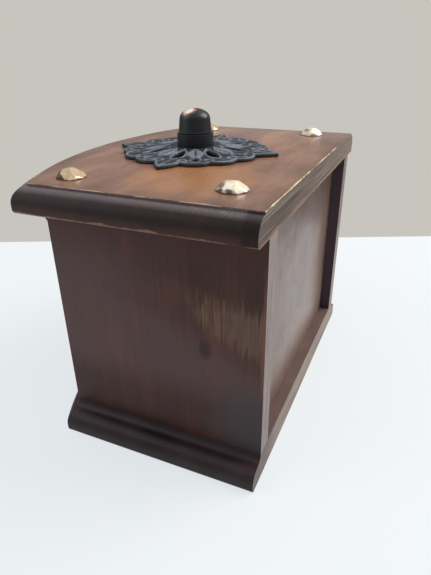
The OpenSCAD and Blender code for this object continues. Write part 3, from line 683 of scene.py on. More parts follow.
@dataclass
class Case:
    """Side boards, back panel, bowed apron and base board, with their stain and their wear."""

    nodes: Nodes
    bow_radius: float = 144.2
    base_out: float = 4.6
    bead_out: float = 1.0
    scuff_start: float = 27.5
    scuff_low: float = 63.5
    scuff_high: float = 72.5
    scuff_fall: float = 0.46
    scuff_climb: float = -0.1
    knot: tuple[float, float] = (32.2, 52.4)
    knot_size: tuple[float, float] = (2.0, 3.6)
    bow: Bow = field(init=False)

    def __post_init__(self) -> None:
        """Works out the centre of the bow from the apron's front."""
        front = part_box("front_apron")[0].y / MM
        self.bow = Bow(front + self.bow_radius, self.bow_radius)

    def rubbed_side_and_painted_light(self, recipe: Recipe, timber: Timber) -> Timber:
        """Adds the rubbed patch, the knot and painted light to the side that shows most: a sheen
        on its front half, a shadow above the patch, and shade low down and at the lower back.

        Args:
            recipe: the material under construction.
            timber: the wood as it was.

        Returns:
            The wood with its marks.
        """
        x, y, z = recipe.split()
        outer = x.rise(self.outer_x - 0.6, self.outer_x - 0.2)
        tatters = recipe.noise((3, 1.1, 45), 3.0, 12.0, 0.7) - 0.5
        broad = recipe.noise((3, 4, 9), 2.0, 15.0) - 0.5
        strand = recipe.noise((2, 0.45, 18), 4.0, 17.0, 0.72)
        into = y - self.scuff_start
        low = self.scuff_low - into * self.scuff_fall
        high = self.scuff_high + into * self.scuff_climb
        patch = (z - low + tatters * 26).rise(-2.0, 3.0)
        patch = patch * (high - z + tatters * 20 + broad * 8).rise(-2.0, 3.0)
        patch = patch * (into + broad * 14).rise(-2.0, 4.0) * outer
        shown = patch * (0.6 + (strand + broad * 0.6).rise(0.36, 0.64) * 0.4)
        rubbed = recipe.ramp(strand, (0.34, "452d22"), (0.5, "5f4636"), (0.66, "745a41"))
        near_start = into.rise(22.0, 6.0)
        shadow = (z - high + tatters * 14).rise(-2.0, 7.0) * y.rise(0.0, 30.0)
        # Painted sheen: a greyish-purple reflection over the front half and below the rubbed
        # patch.
        painted_sheen_and_rim_darkening = (y + broad * 18).rise(32.0, -16.0).most((low - z).rise(-4.0, 16.0))
        painted_sheen_and_rim_darkening = painted_sheen_and_rim_darkening * z.rise(100.0, 70.0) * z.rise(24.0, 42.0) * outer
        warm = (z + broad * 10).rise(80.0, 95.0) * outer
        late = into.rise(8.0, 18.0) * shown
        dy = (y - self.knot[0]) / self.knot_size[0]
        dz = (z - self.knot[1] + tatters * 6) / self.knot_size[1]
        knot = (dy * dy + dz * dz).rise(2.4, 0.0) * outer
        # Painted shade: the lower back of the side in a dark bluish grey.
        painted_low_back_shade = (y + broad * 16).rise(26.0, 48.0) * (z + broad * 16).rise(44.0, 30.0)
        corner = (self.back_y - y + tatters * 3).rise(1.8, 0.7)
        rust = corner * (z + broad * 40).rise(93.0, 70.0) * z.rise(34.0, 46.0)
        colour = recipe.shade(timber.colour, 1.0 - shadow * outer * 0.3)
        colour = recipe.coats(
            # Painted shade: the side darker towards its foot.
            recipe.shade(colour, 1.0 - z.rise(46.0, 24.0) * outer * 0.28),
            ("4d2416", warm * 0.4),
            # painted sheen over the front half
            ("5a4849", painted_sheen_and_rim_darkening * 0.42),
            (rubbed, shown * (0.5 + near_start * 0.4)),
            ("66534a", late * 0.5),
            ("1f1214", knot * 0.75),
            # painted shade at the lower back
            ("36353c", painted_low_back_shade * outer * 0.55),
            ("6e4836", rust * outer * 0.6),
        )
        rough = timber.rough + shown * 0.14
        height = timber.height + strand * shown * 0.9
        return self.back_and_inner_painted_light(recipe, Timber(colour, rough, height))

    def back_and_inner_painted_light(self, recipe: Recipe, timber: Timber) -> Timber:
        """Greys the back edge of a side board with a painted sheen, streaked with grain, and
        paints its shaded inner face lighter, in bluish grey.

        Args:
            recipe: the material under construction.
            timber: the wood as it was.

        Returns:
            The wood with its greyed faces.
        """
        x, y, _ = recipe.split()
        face_x, face_y, _ = recipe.facing()
        cloud = recipe.noise((8, 8, 22), 3.0, 27.0, 0.6) - 0.5
        line = recipe.noise((0.5, 0.5, 40), 3.0, 29.0, 0.7)
        back = face_y.rise(*SQUARE_ON) * y.rise(self.back_y - 4, self.back_y - 2)
        # Painted sheen: a pale grey ramp, streaked with grain, on the back edge.
        pale = recipe.ramp(line, (0.36, "5a4e49"), (0.5, "857a75"), (0.64, "9e958f"))
        # Painted light: the shaded inner face in a lighter bluish grey.
        inner = face_x.rise(*SQUARE_ON) * x.size().rise(self.outer_x - 4, self.outer_x - 6)
        layers = (pale, back * (0.78 + cloud * 0.5)), ("463f4a", inner * 0.6)
        colour = recipe.coats(timber.colour, *layers)
        return Timber(colour, timber.rough, timber.height + line * back)

    def panel_painted_light_and_tone(self, recipe: Recipe, timber: Timber) -> Timber:
        """Clouds the back panel: painted shade under the top board, painted light at the foot and
        a browner tone towards the near side.

        Args:
            recipe: the material under construction.
            timber: the wood as it was.

        Returns:
            The wood with its clouds.
        """
        x, _, z = recipe.split()
        cloud = recipe.noise((16, 16, 12), 3.0, 33.0, 0.65) - 0.5
        # Painted shade under the top board: darker brown, with less coat.
        high = (z + cloud * 40).rise(62.0, 98.0)
        # Painted light: the foot paler.
        low = (z + cloud * 20).rise(46.0, 24.0)
        near = (x + cloud * 30).rise(4.0, 42.0)
        layers = ("47352a", high * 0.7), ("98827a", low * 0.3), ("5a4434", near * 0.4)
        colour = recipe.coats(timber.colour, *layers)
        coat = 0.48 - high * 0.3 - near * 0.16
        return Timber(colour, timber.rough + cloud * 0.2, timber.height, coat)

    def pale_foot(self, recipe: Recipe, timber: Timber) -> Timber:
        """Pales the base board's ledge behind the panel and its back edge.

        Args:
            recipe: the material under construction.
            timber: the wood as it was.

        Returns:
            The wood with its pale ledge and edge.
        """
        x, y, _ = recipe.split()
        _, face_y, face_z = recipe.facing()
        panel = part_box("back_panel")[1].y / MM
        within = x.size().rise(self.outer_x + 2, self.outer_x - 2)
        cloud = recipe.noise((14, 6, 6), 3.0, 43.0, 0.6) - 0.5
        ledge = face_z.rise(*SQUARE_ON) * y.rise(panel - 0.2, panel + 0.2)
        ledge = ledge * within
        edge = face_y.rise(*SQUARE_ON) * y.rise(panel, panel + 0.5)
        edge = edge * (0.35 + (x + cloud * 20).rise(58.0, 40.0) * 0.45)
        line = recipe.noise((40, 0.5, 0.5), 3.0, 45.0, 0.7)
        pale = recipe.ramp(line, (0.36, "64544b"), (0.5, "92847a"), (0.64, "ab9d91"))
        golden = (cloud + line * 0.4).rise(0.24, 0.5) * edge
        pale_ledge = "725c57", ledge * (0.75 + cloud * 0.5)
        colour = recipe.coats(timber.colour, pale_ledge, (pale, edge), ("a98c68", golden * 0.4))
        rough = timber.rough + ledge.most(edge) * 0.16
        return Timber(colour, rough, timber.height)

    @property
    def outer_x(self) -> float:
        """The outer face of the right side board."""
        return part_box("right_side")[1].x / MM

    @property
    def back_y(self) -> float:
        """The back edges of the side boards."""
        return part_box("right_side")[1].y / MM

    def dress(self) -> None:
        """Finishes every board of the case."""
        flat = {
            "right_side": (WALNUT, Grain.ALONG_Z, 1.0, self.rubbed_side_and_painted_light),
            "left_side": (WALNUT, Grain.ALONG_Z, 2.0, self.back_and_inner_painted_light),
            "back_panel": (PANEL_DUST_AND_SHEEN, Grain.ALONG_Z, 3.0, self.panel_painted_light_and_tone),
            "left_kicker": (PLAIN, Grain.ALONG_Y, 4.0, None),
            "right_kicker": (PLAIN, Grain.ALONG_Y, 5.0, None),
        }
        for name, (finish, grain, seed, marks) in flat.items():
            finish.dress(self.nodes[name], Board.of(name), grain, seed, marks)
        bowed = {"front_apron": 0.0, "front_bead": self.bead_out, "base_board": self.base_out}
        for seed, (name, out) in enumerate(bowed.items(), start=6):
            bow = Bow(self.bow.centre_y, self.bow_radius + out)
            finish, marks = (PLINTH, self.pale_foot) if name == "base_board" else (WALNUT, None)
            board = Board.of(name, bow)
            finish.dress(self.nodes[name], board, Grain.ALONG_X, float(seed), marks)
        LOG.info("case: %d boards", len(flat) + len(bowed))


@dataclass
class TopBoard:
    """The top board: its light flat, its dark moulded edge and its chipped back edge."""

    node: Piece
    bow: Bow
    thumb: float = 5.5
    out: float = 8.9
    golden: tuple[float, float] = (42.0, 19.0)
    golden_size: tuple[float, float] = (25.0, 25.0)

    def dress(self) -> None:
        """Finishes the top board."""
        bow = Bow(self.bow.centre_y, self.bow.radius + self.out)
        board = Board.of("top_board", bow)
        recipe = Recipe("walnut_top_board")
        x, y, z = recipe.split()
        light = WALNUT_TOP.timber(recipe, Grain.ALONG_X, 11.0)
        dark = MOULDING.timber(recipe, Grain.ALONG_X, 12.0)
        side = board.rims(recipe)[0]
        back = board.high.y - y
        front = bow.radius - (x * x + (y - bow.centre_y) ** 2.0) ** 0.5
        flat = z.rise(board.high.z - 0.25, board.high.z - 0.05)
        inner = side.least(front) - self.thumb
        cloud = recipe.noise((26, 14, 20), 3.0, 4.0, 0.65) - 0.5
        dx = (x - self.golden[0]) / self.golden_size[0]
        dy = (y - self.golden[1]) / self.golden_size[1]
        gold = (dx * dx + dy * dy + cloud * 3).rise(1.3, 0.1)
        top = recipe.mix(light.colour, "b07a48", gold * 0.65)
        # Here the mask only darkens the flat towards its rims and its back edge.
        painted_sheen_and_rim_darkening = (inner.least(back) + cloud * 24).rise(12.0, -3.0)
        top = recipe.shade(top, 1.0 - painted_sheen_and_rim_darkening * 0.35 - y.rise(28.0, 44.0) * 0.08)
        low_roll = (z - board.low.z + cloud * 3).rise(4.2, 1.4) * (1 - flat)
        crest = z.rise(board.low.z + 7.0, board.low.z + 8.5) * (1 - flat)
        scratch = recipe.noise((0.7, 0.7, 0.35), 3.0, 31.0, 0.8)
        hair = (scratch + cloud * 0.25).rise(0.55, 0.66) * crest
        hair = hair * (y + cloud * 40).rise(14.0, 46.0)
        char = (back + cloud * 3).rise(6.5, 3.5) * (1 - flat)
        speck = scratch.rise(0.58, 0.7) * char
        sawn = recipe.noise((60, 1, 0.5), 2.0, 21.0, 0.7)
        back_face = recipe.facing()[1].rise(0.8, 0.97) * back.rise(1.0, 0.3)
        # Painted sheen: the back face pale grey over its sawn grooves, paler towards the far end.
        sawn_and_painted_sheen = recipe.ramp(sawn, (0.38, "38302c"), (0.52, "65574f"), (0.66, "85776e"))
        painted_far_back_sheen = x.rise(60.0, -70.0) * back_face
        rim = WALNUT_TOP.wear_mask(recipe, inner.most(0.0), 0.6, 0.6) * flat
        share = 0.36 + x.rise(-40.0, 60.0) * 0.5
        chip = WALNUT_TOP.wear_mask(recipe, back.most(board.high.z - z), 0.6, share)
        foot = (z - board.low.z).most(0.0)
        foot_wear = WALNUT.wear_mask(recipe, foot, 1.1, 1.2)
        foot_wear = foot_wear * recipe.facing()[2].rise(0.92, 0.7)
        # Painted sheen: the far part of the flat paler and greyer.
        painted_far_top_sheen = (x + cloud * 20).rise(-30.0, -64.0) * flat
        low_line = WALNUT_TOP.wear_mask(recipe, foot, 0.35, 0.45) * back_face
        colour = recipe.coats(
            dark.colour,
            (top, flat),
            ("43241a", low_roll * 0.6),
            # Painted highlight: light grey along the crest of the roll.
            ("6b5f62", crest * (0.62 + cloud * 0.8)),
            ("9c928c", hair * 0.5),
            ("0f0909", char * 0.65),
            ("5c4c44", speck * 0.4),
            # painted sheen on the back face
            (sawn_and_painted_sheen, back_face * 0.85),
            ("9a8c82", painted_far_back_sheen * 0.3),
            ("e2bd96", rim * 0.8),
            ("f3d6a8", chip * 0.95),
            ("8f6e58", foot_wear * 0.6),
            ("c0aea2", painted_far_top_sheen * 0.2),
            ("b98f6c", low_line * 0.7),
        )
        peel = recipe.noise((1.0, 1.0, 0.9), 2.0, 37.0, 0.6) * (1 - flat)
        roll = dark.rough - crest * 0.16 + char * 0.2
        rough = light.rough * flat + roll * (1 - flat) + back_face * 0.05
        height = light.height - chip * 1.4 - rim * 0.8 + sawn * back_face * 1.4 - hair * 0.6
        height = height + peel * (1 - back_face) * (1.5 + crest * 2.5) + speck
        coat = flat * WALNUT_TOP.coat + (1 - flat) * MOULDING.coat + crest * 0.3
        timber = Timber(colour, rough, height, coat)
        WALNUT_TOP.seal(recipe, self.node, timber, 0.07)
        LOG.info("top board: 1 board")


@dataclass
class Rosette:
    """The cast rosette: leaves with veins, a beaded ring and a raised rim on a pierced plate."""

    node: Piece
    grid: float = 0.36
    sectors: int = 8
    turn: float = 3.0
    leaf_start: float = 10.5
    leaf_end: float = 21.5
    leaf_half: float = 3.6
    tip_start: float = 25.0
    seat: float = 8.2
    bead_ring: float = 10.6
    beads: int = 32

    def relief(self, plan: np.ndarray, rim: np.ndarray) -> np.ndarray:
        """Height of the relief over the plate.

        Args:
            plan: x and y of each point in millimetres, from the rosette's centre.
            rim: distance of each point from the nearest edge of the plate.

        Returns:
            The height in millimetres.
        """
        radius = np.hypot(plan[:, 0], plan[:, 1])
        turn = np.arctan2(plan[:, 1], plan[:, 0]) - math.radians(self.turn)
        pitch = 2 * np.pi / self.sectors
        off = (turn + pitch) % pitch - pitch / 2
        aside = np.abs(radius * np.sin(off))
        share = np.clip((radius - self.leaf_start) / (self.leaf_end - self.leaf_start), 0, 1)
        half = self.leaf_half * np.sin(np.pi * share) ** 0.6
        leaf = np.clip((half - aside) / 0.7, 0, 1)
        leaf = leaf * leaf * (3 - 2 * leaf)
        vein = np.exp(-((aside / 0.38) ** 2))
        ribs = 0.5 + 0.5 * np.cos(2 * np.pi * (radius - aside * 1.2) / 2.5)
        height = leaf * (0.55 - 0.42 * vein + 0.2 * (ribs - 0.5) * (1 - vein))
        edge = np.exp(-(((rim - 0.75) / 0.55) ** 2))
        ground = np.clip((rim - 1.4) / 0.8, 0, 1)
        height = np.maximum(height, 0.5 * edge) - 0.4 * ground * (1 - leaf)
        ring = np.exp(-(((radius - self.bead_ring) / 0.8) ** 2))
        height = height + ring * (0.25 + 0.45 * np.cos(self.beads * turn).clip(-0.4, 1))
        tip = np.exp(-((radius * np.sin((turn + np.pi / 4) % (np.pi / 2) - np.pi / 4) / 0.6) ** 2))
        height = np.maximum(height, 0.45 * tip * (radius > self.tip_start))
        return height * np.clip((radius - self.seat) / 0.6, 0, 1)

    def build(self) -> Piece:
        """Makes the rosette from a copy of the plate.

        Returns:
            The new piece.
        """
        piece = Bench.copy_of(self.node, "rosette_casting")
        Bench.apply(piece, "REMESH", mode="VOXEL", voxel_size=self.grid * MM)
        mesh = piece.data
        place = Bench.points(piece)
        up = place[:, 2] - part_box("rosette")[0].z / MM
        radius = np.hypot(place[:, 0], place[:, 1])
        wall = np.flatnonzero((up > 0.3) & (up < 0.85) & (radius > self.seat - 1))
        tree = KDTree(len(wall))
        for index in wall:
            tree.insert((place[index, 0], place[index, 1], 0.0), int(index))
        tree.balance()
        rim = np.array([tree.find((x, y, 0.0))[2] for x, y in place[:, :2]])
        lift = self.relief(place[:, :2], rim) * np.clip((up - 0.6) / 0.5, 0, 1)
        place[:, 2] += lift
        mesh.vertices.foreach_set("co", (place * MM).ravel())
        raised = mesh.attributes.new("raised", "FLOAT", "POINT")
        raised.data.foreach_set("value", lift.astype(np.float32))
        mesh.update()
        Bench.apply(piece, "SMOOTH", factor=0.5, iterations=1)
        Bench.smooth(piece, 60)
        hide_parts("rosette")
        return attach(piece, "case")

    def dress(self, piece: Piece) -> None:
        """Paints the casting black, worn to grey with a painted highlight on what stands highest
        and faces up.
        """
        recipe = Recipe("black_iron_rosette")
        raised = recipe.node("ShaderNodeAttribute", {"attribute_name": "raised"}, output="Fac")
        grit = recipe.noise((0.7, 0.7, 0.7), 3.0, 1.0, 0.65)
        runs = recipe.noise((7, 7, 7), 2.0, 2.0)
        worn = (raised * 1.1 + grit * 0.7 + runs * 0.9).rise(0.86, 1.55)
        # Worn grey and painted highlight: raised parts that face up turn bluish grey.
        facing_up = recipe.facing()[2].rise(0.35, 0.8)
        colour = recipe.mix("171b22", "8791a0", worn * facing_up * 0.85)
        dust = (raised * -1.0 + grit * 0.4).rise(0.3, 0.75)
        colour = recipe.mix(colour, "2c2c2f", dust * 0.5)
        inputs = {
            "Base Color": colour,
            "Roughness": 0.42 + grit * 0.2 - worn * 0.08,
            "Metallic": worn * 0.25,
            "Normal": recipe.bump(grit, 0.14, 0.8),
        }
        recipe.cover(piece, inputs)
        LOG.info("rosette: %d faces", len(piece.data.polygons))


@dataclass(frozen=True)
class Facet:
    """A flat left by the hammer: its bearing and tilt in degrees, its depth in millimetres."""

    bearing: float
    tilt: float
    bite: float

    def normal(self) -> Vector:
        """The way that it faces."""
        bearing, tilt = math.radians(self.bearing), math.radians(self.tilt)
        level = math.sin(tilt)
        return Vector((level * math.cos(bearing), level * math.sin(bearing), math.cos(tilt)))


@dataclass
class Tacks:
    """The four tacks with hammered heads."""

    nodes: Nodes
    head: float = 11.2
    head_height: float = 3.4
    shank: float = 2.4
    grid: float = 0.26
    hammered: tuple[tuple[Triple, ...], ...] = (
        ((100, 30, 0.6), (250, 28, 0.5), (20, 50, 0.6), (320, 70, 0.6)),
        ((60, 36, 0.5), (-40, 42, 0.6), (180, 34, 0.5), (30, 76, 0.7)),
        (
            *((96, 33, 0.75), (238, 26, 0.45), (28, 47, 0.5), (-14, 74, 1.0)),
            *((70, 72, 0.45), (168, 42, 0.5), (310, 50, 0.5)),
        ),
        (
            *((200, 9, 0.35), (100, 40, 0.55), (-52, 44, 0.5), (6, 76, 0.85)),
            *((-36, 74, 0.7), (58, 68, 0.45), (150, 38, 0.4), (246, 46, 0.5)),
        ),
    )

    def places(self) -> list[Triple]:
        """Where the heads stand, in millimetres: one in each quarter of the top board."""
        points = Bench.points(self.nodes["corner_tacks"])
        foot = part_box("top_board")[1].z / MM
        points = points[points[:, 2] > foot + 0.1]
        found = []
        for side in (-1, 1):
            for depth in (-1, 1):
                head = points[(points[:, 0] * side > 0) & (points[:, 1] * depth > 0)]
                x, y, _ = (head.min(axis=0) + head.max(axis=0)) / 2
                found.append((x, y, foot))
        return found

    def head_at(self, index: int, place: Triple) -> Piece:
        """Models one tack.

        Args:
            index: its number, which sets how it was hammered.
            place: the foot of its head, in millimetres.

        Returns:
            The tack.
        """
        radius = self.head / 2
        ball = (radius**2 + self.head_height**2) / (2 * self.head_height)
        Bench.clear()
        bpy.ops.mesh.primitive_uv_sphere_add(
            segments=32,
            ring_count=24,
            radius=ball * MM,
            location=(0, 0, (self.head_height - ball) * MM),
        )
        tack = Bench.named(f"tack_{index + 1}")
        Bench.settle(tack)
        self.cut(tack, Vector((0, 0, 0)), Vector((0, 0, -1)))
        for facet in (Facet(*row) for row in self.hammered[index]):
            normal = facet.normal()
            reach = max(vertex.co.dot(normal) for vertex in tack.data.vertices)
            self.cut(tack, normal * (reach - facet.bite * MM), normal)
        drop = place[2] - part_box("corner_tacks")[0].z / MM
        Bench.clear()
        bpy.ops.mesh.primitive_cylinder_add(
            vertices=24,
            radius=self.shank / 2 * MM,
            depth=(drop + self.shank) * MM,
            location=(0, 0, (self.shank - drop) / 2 * MM),
        )
        tack = Bench.join(tack.name, [tack, Bench.named("shank")])
        tack.location = Vector(place) * MM
        Bench.settle(tack)
        Bench.apply(tack, "REMESH", mode="VOXEL", voxel_size=self.grid * MM)
        Bench.apply(tack, "SMOOTH", factor=0.5, iterations=2)
        Bench.smooth(tack, 60)
        return tack

    @staticmethod
    def cut(tack: Piece, point: Vector, normal: Vector) -> None:
        """Takes off what lies beyond a plane and closes the cut."""
        Bench.pick(tack, lambda face: True)
        bpy.ops.mesh.bisect(plane_co=point, plane_no=normal, clear_outer=True, use_fill=True)
        bpy.ops.object.mode_set(mode="OBJECT")

    @staticmethod
    def dirt_and_painted_shade(recipe: Recipe, colour: Signal) -> Signal:
        """Dirties the foot of each head, paints shade on its steep front and dulls the front
        tacks.

        Args:
            recipe: the material under construction.
            colour: the colour as it was.

        Returns:
            The aged colour.
        """
        _, y, z = recipe.split()
        out, depth, up = recipe.split(recipe.node("ShaderNodeTexCoord", output="Normal"))
        patches = recipe.noise((2.2, 2.2, 2.2), 3.0, 41.0, 0.65) - 0.5
        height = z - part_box("top_board")[1].z / MM
        foot = (height + patches * 1.2).rise(0.6, 0.1)
        # Painted shade: the steep facets that face the front and down turn dark brown.
        front = (out * 0.55 - depth * 0.75 - up * 0.35 + patches * 0.9).rise(0.22, 0.5)
        colour = recipe.mix(colour, "a9854f", y.rise(16.0, -10.0) * 0.6)
        return recipe.mix(colour, "3a2513", foot.most(front) * 0.85)

    def build(self) -> None:
        """Makes all four, as one piece."""
        tacks = [self.head_at(index, place) for index, place in enumerate(self.places())]
        piece = Bench.join("hammered_tacks", tacks)
        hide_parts("corner_tacks")
        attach(piece, "case")
        TACK_BRASS_PAINTED_GLINT.dress(piece, 3.0, self.dirt_and_painted_shade)
        LOG.info("tacks: %d", len(tacks))


@dataclass
class Spindle:
    """What stands on the rosette, and the spindle through the mill."""

    nodes: Nodes
    bare_spot_and_glint: tuple[float, float] = (3.6, -1.4)

    def black(self, name: str, rubbed: bool) -> None:
        """Lacquers a turned piece black, with metal showing where it is rubbed through and a
        painted highlight at the centre of that spot.

        Args:
            name: the node.
            rubbed: whether its top is worn through and carries a painted highlight.
        """
        piece = self.nodes[name]
        recipe = Recipe(f"black_lacquer_{name}")
        x, y, z = recipe.split()
        grit = recipe.noise((1.1, 1.1, 1.1), 3.0, 2.0, 0.6)
        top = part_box(name)[1].z / MM
        lip = (top - z + grit * 0.5).rise(0.75, 0.3) * (1.0 - float(rubbed))
        colour = recipe.mix("060c14", "363c44", lip * 0.6)
        metallic = lip * 0.2
        if rubbed:
            dx, dy = x - self.bare_spot_and_glint[0], y - self.bare_spot_and_glint[1]
            near = (dx**2.0 + dy**2.0) ** 0.5
            # Worn-through copper with a painted highlight, cream-white at the spot's centre.
            bare = (near * 0.42 + (top - z) * 0.3 - grit * 1.3).rise(1.4, -0.1)
            colour = recipe.ramp(
                bare,
                (0.05, "060c14"),
                (0.3, "6e4436"),
                (0.6, "d9ab98"),
                (0.9, "fff4ea"),
            )
            metallic = bare * 0.6
        foot = (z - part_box(name)[0].z / MM).rise(0.9, 0.2)
        colour = recipe.mix(colour, "4b4e54", foot * 0.25 * float(rubbed))
        inputs = {
            "Base Color": colour,
            "Metallic": metallic,
            "Roughness": 0.3 + grit * 0.14,
            "Normal": recipe.bump(grit, 0.03, 0.5),
        }
        recipe.cover(piece, inputs)

    def dress(self) -> None:
        """Finishes the collar, the cap nut, the spindle and the nut under the top."""
        self.black("collar", False)
        self.black("cap_nut", True)
        for seed, name in enumerate(("spindle", "jam_nut")):
            STEEL.dress(self.nodes[name], float(seed))
        LOG.info("spindle: 4 pieces")


@dataclass
class Mill:
    """The grinding parts inside the case."""

    nodes: Nodes
    wire: float = 1.0
    turns: int = 3
    steps: int = 40

    def spring(self) -> None:
        """Winds the burr spring from round wire."""
        low, high = (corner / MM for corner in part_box("burr_spring"))
        mean = high.x - self.wire / 2
        rise = (high.z - low.z - self.wire) / self.turns
        Bench.clear()
        bpy.ops.mesh.primitive_circle_add(
            vertices=12,
            radius=self.wire / 2 * MM,
            location=(mean * MM, 0, (low.z + self.wire / 2) * MM),
            rotation=(math.pi / 2, 0, 0),
        )
        coil = Bench.named("coil_spring")
        Bench.settle(coil)
        Bench.apply(
            coil,
            "SCREW",
            axis="Z",
            angle=2 * math.pi,
            screw_offset=rise * MM,
            iterations=self.turns,
            steps=self.steps,
            render_steps=self.steps,
        )
        Bench.pick(coil, lambda face: True)
        bpy.ops.mesh.select_mode(type="EDGE")
        bpy.ops.mesh.select_all(action="DESELECT")
        bpy.ops.mesh.select_non_manifold()
        bpy.ops.mesh.fill_holes(sides=0)
        bpy.ops.mesh.select_all(action="SELECT")
        bpy.ops.mesh.normals_make_consistent(inside=False)
        bpy.ops.object.mode_set(mode="OBJECT")
        Bench.smooth(coil, 40)
        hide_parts("burr_spring")
        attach(coil, "case")
        STEEL.dress(coil, 6.0)

    def dress(self) -> None:
        """Finishes the castings, the burrs and their screws."""
        finishes = {
            "hopper": CAST_IRON,
            "lower_bridge": CAST_IRON,
            "ring_burr": STEEL,
            "cone_burr": STEEL,
            "hopper_screws": STEEL,
            "bridge_screws": STEEL,
            "base_screws": STEEL,
            "adjusting_nut": BRASS,
            "filler_chute": TINPLATE,
        }
        for seed, (name, finish) in enumerate(finishes.items(), start=10):
            finish.dress(self.nodes[name], float(seed))
        self.spring()
        LOG.info("mill: %d pieces", len(finishes) + 1)


@dataclass
class Filler:
    """The flap over the bean inlet, with its knob, its hinge and the hinge's screws."""

    nodes: Nodes
    bow: Bow
    leaf: float = 0.8
    screw_x: float = 8.0
    head: float = 2.6
    proud: float = 0.3
    round: float = 0.22
    slot: tuple[float, float] = (0.36, 0.5)

    def screw(self, x: float, z: float, turn: float) -> Piece:
        """Models the slotted head of one screw on the bowed front.

        Args:
            x: its place across the front, in millimetres.
            z: its height in millimetres.
            turn: the turn of its slot in degrees.

        Returns:
            The screw's head.
        """
        wide, deep = (side * MM for side in self.slot)
        Bench.clear()
        bpy.ops.mesh.primitive_cube_add(size=1, rotation=(0, 0, math.radians(turn)))
        slot = Bench.named("screw_slot")
        slot.scale = (2 * self.head * MM, wide, deep)
        slot.location.z = self.proud * MM
        Bench.clear()
        depth = self.leaf * MM
        bpy.ops.mesh.primitive_cylinder_add(
            vertices=32,
            radius=self.head / 2 * MM,
            depth=depth,
            location=(0, 0, self.proud * MM - depth / 2),
        )
        head = Bench.named("screw_head")
        Bench.settle(head)
        Bench.apply(head, "BEVEL", width=self.round * MM, segments=3, limit_method="ANGLE")
        Bench.apply(head, "BOOLEAN", object=slot, operation="DIFFERENCE", solver="EXACT")
        Bench.take(slot)
        bpy.ops.object.delete()
        radius = self.bow.radius + self.leaf
        around = math.asin(x / radius)
        head.rotation_euler = (math.radians(90), 0, around)
        y = self.bow.centre_y - radius * math.cos(around)
        head.location = Vector((x, y, z)) * MM
        Bench.settle(head)
        Bench.smooth(head, 40)
        return head

    def screws(self) -> None:
        """Puts two screws through each leaf of the hinge."""
        rides = {"hinge_fixed_leaf": ("case", -0.28), "hinge_flap_leaf": ("filler_lid", 0.28)}
        for seed, (leaf, (body, lift)) in enumerate(rides.items()):
            low, high = (corner.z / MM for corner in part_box(leaf))
            z = (low + high) / 2 + (high - low) * lift
            turns = (-self.screw_x, 20.0 + seed * 50), (self.screw_x, 95.0 - seed * 60)
            heads = [self.screw(x, z, turn) for x, turn in turns]
            piece = Bench.join(f"{leaf}_screws", heads)
            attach(piece, body)
            BRASS.dress(piece, 26.0 + seed)

    def dress(self) -> None:
        """Finishes the flap and its fittings."""
        board = Board.of("filler_flap", self.bow)
        WALNUT.dress(self.nodes["filler_flap"], board, Grain.ALONG_X, 14.0)
        fittings = "flap_knob", "hinge_flap_leaf", "hinge_fixed_leaf"
        for seed, name in enumerate(fittings, start=20):
            BRASS.dress(self.nodes[name], float(seed))
        STEEL.dress(self.nodes["hinge_pin"], 24.0)
        self.screws()
        LOG.info("filler: 7 pieces")


@dataclass
class Drawer:
    """The drawer for the ground coffee."""

    nodes: Nodes
    bow: Bow

    def dress(self) -> None:
        """Finishes the drawer's boards and its knob."""
        front = Board.of("drawer_front", self.bow)
        WALNUT.dress(self.nodes["drawer_front"], front, Grain.ALONG_X, 16.0)
        boards = {
            "drawer_left_side": Grain.ALONG_Y,
            "drawer_right_side": Grain.ALONG_Y,
            "drawer_back": Grain.ALONG_X,
            "drawer_bottom": Grain.ALONG_X,
        }
        for seed, (name, grain) in enumerate(boards.items(), start=17):
            PLAIN.dress(self.nodes[name], Board.of(name), grain, float(seed))
        BRASS.dress(self.nodes["drawer_knob"], 30.0)
        STEEL.dress(self.nodes["knob_screw"], 31.0)
        LOG.info("drawer: %d pieces", len(boards) + 3)


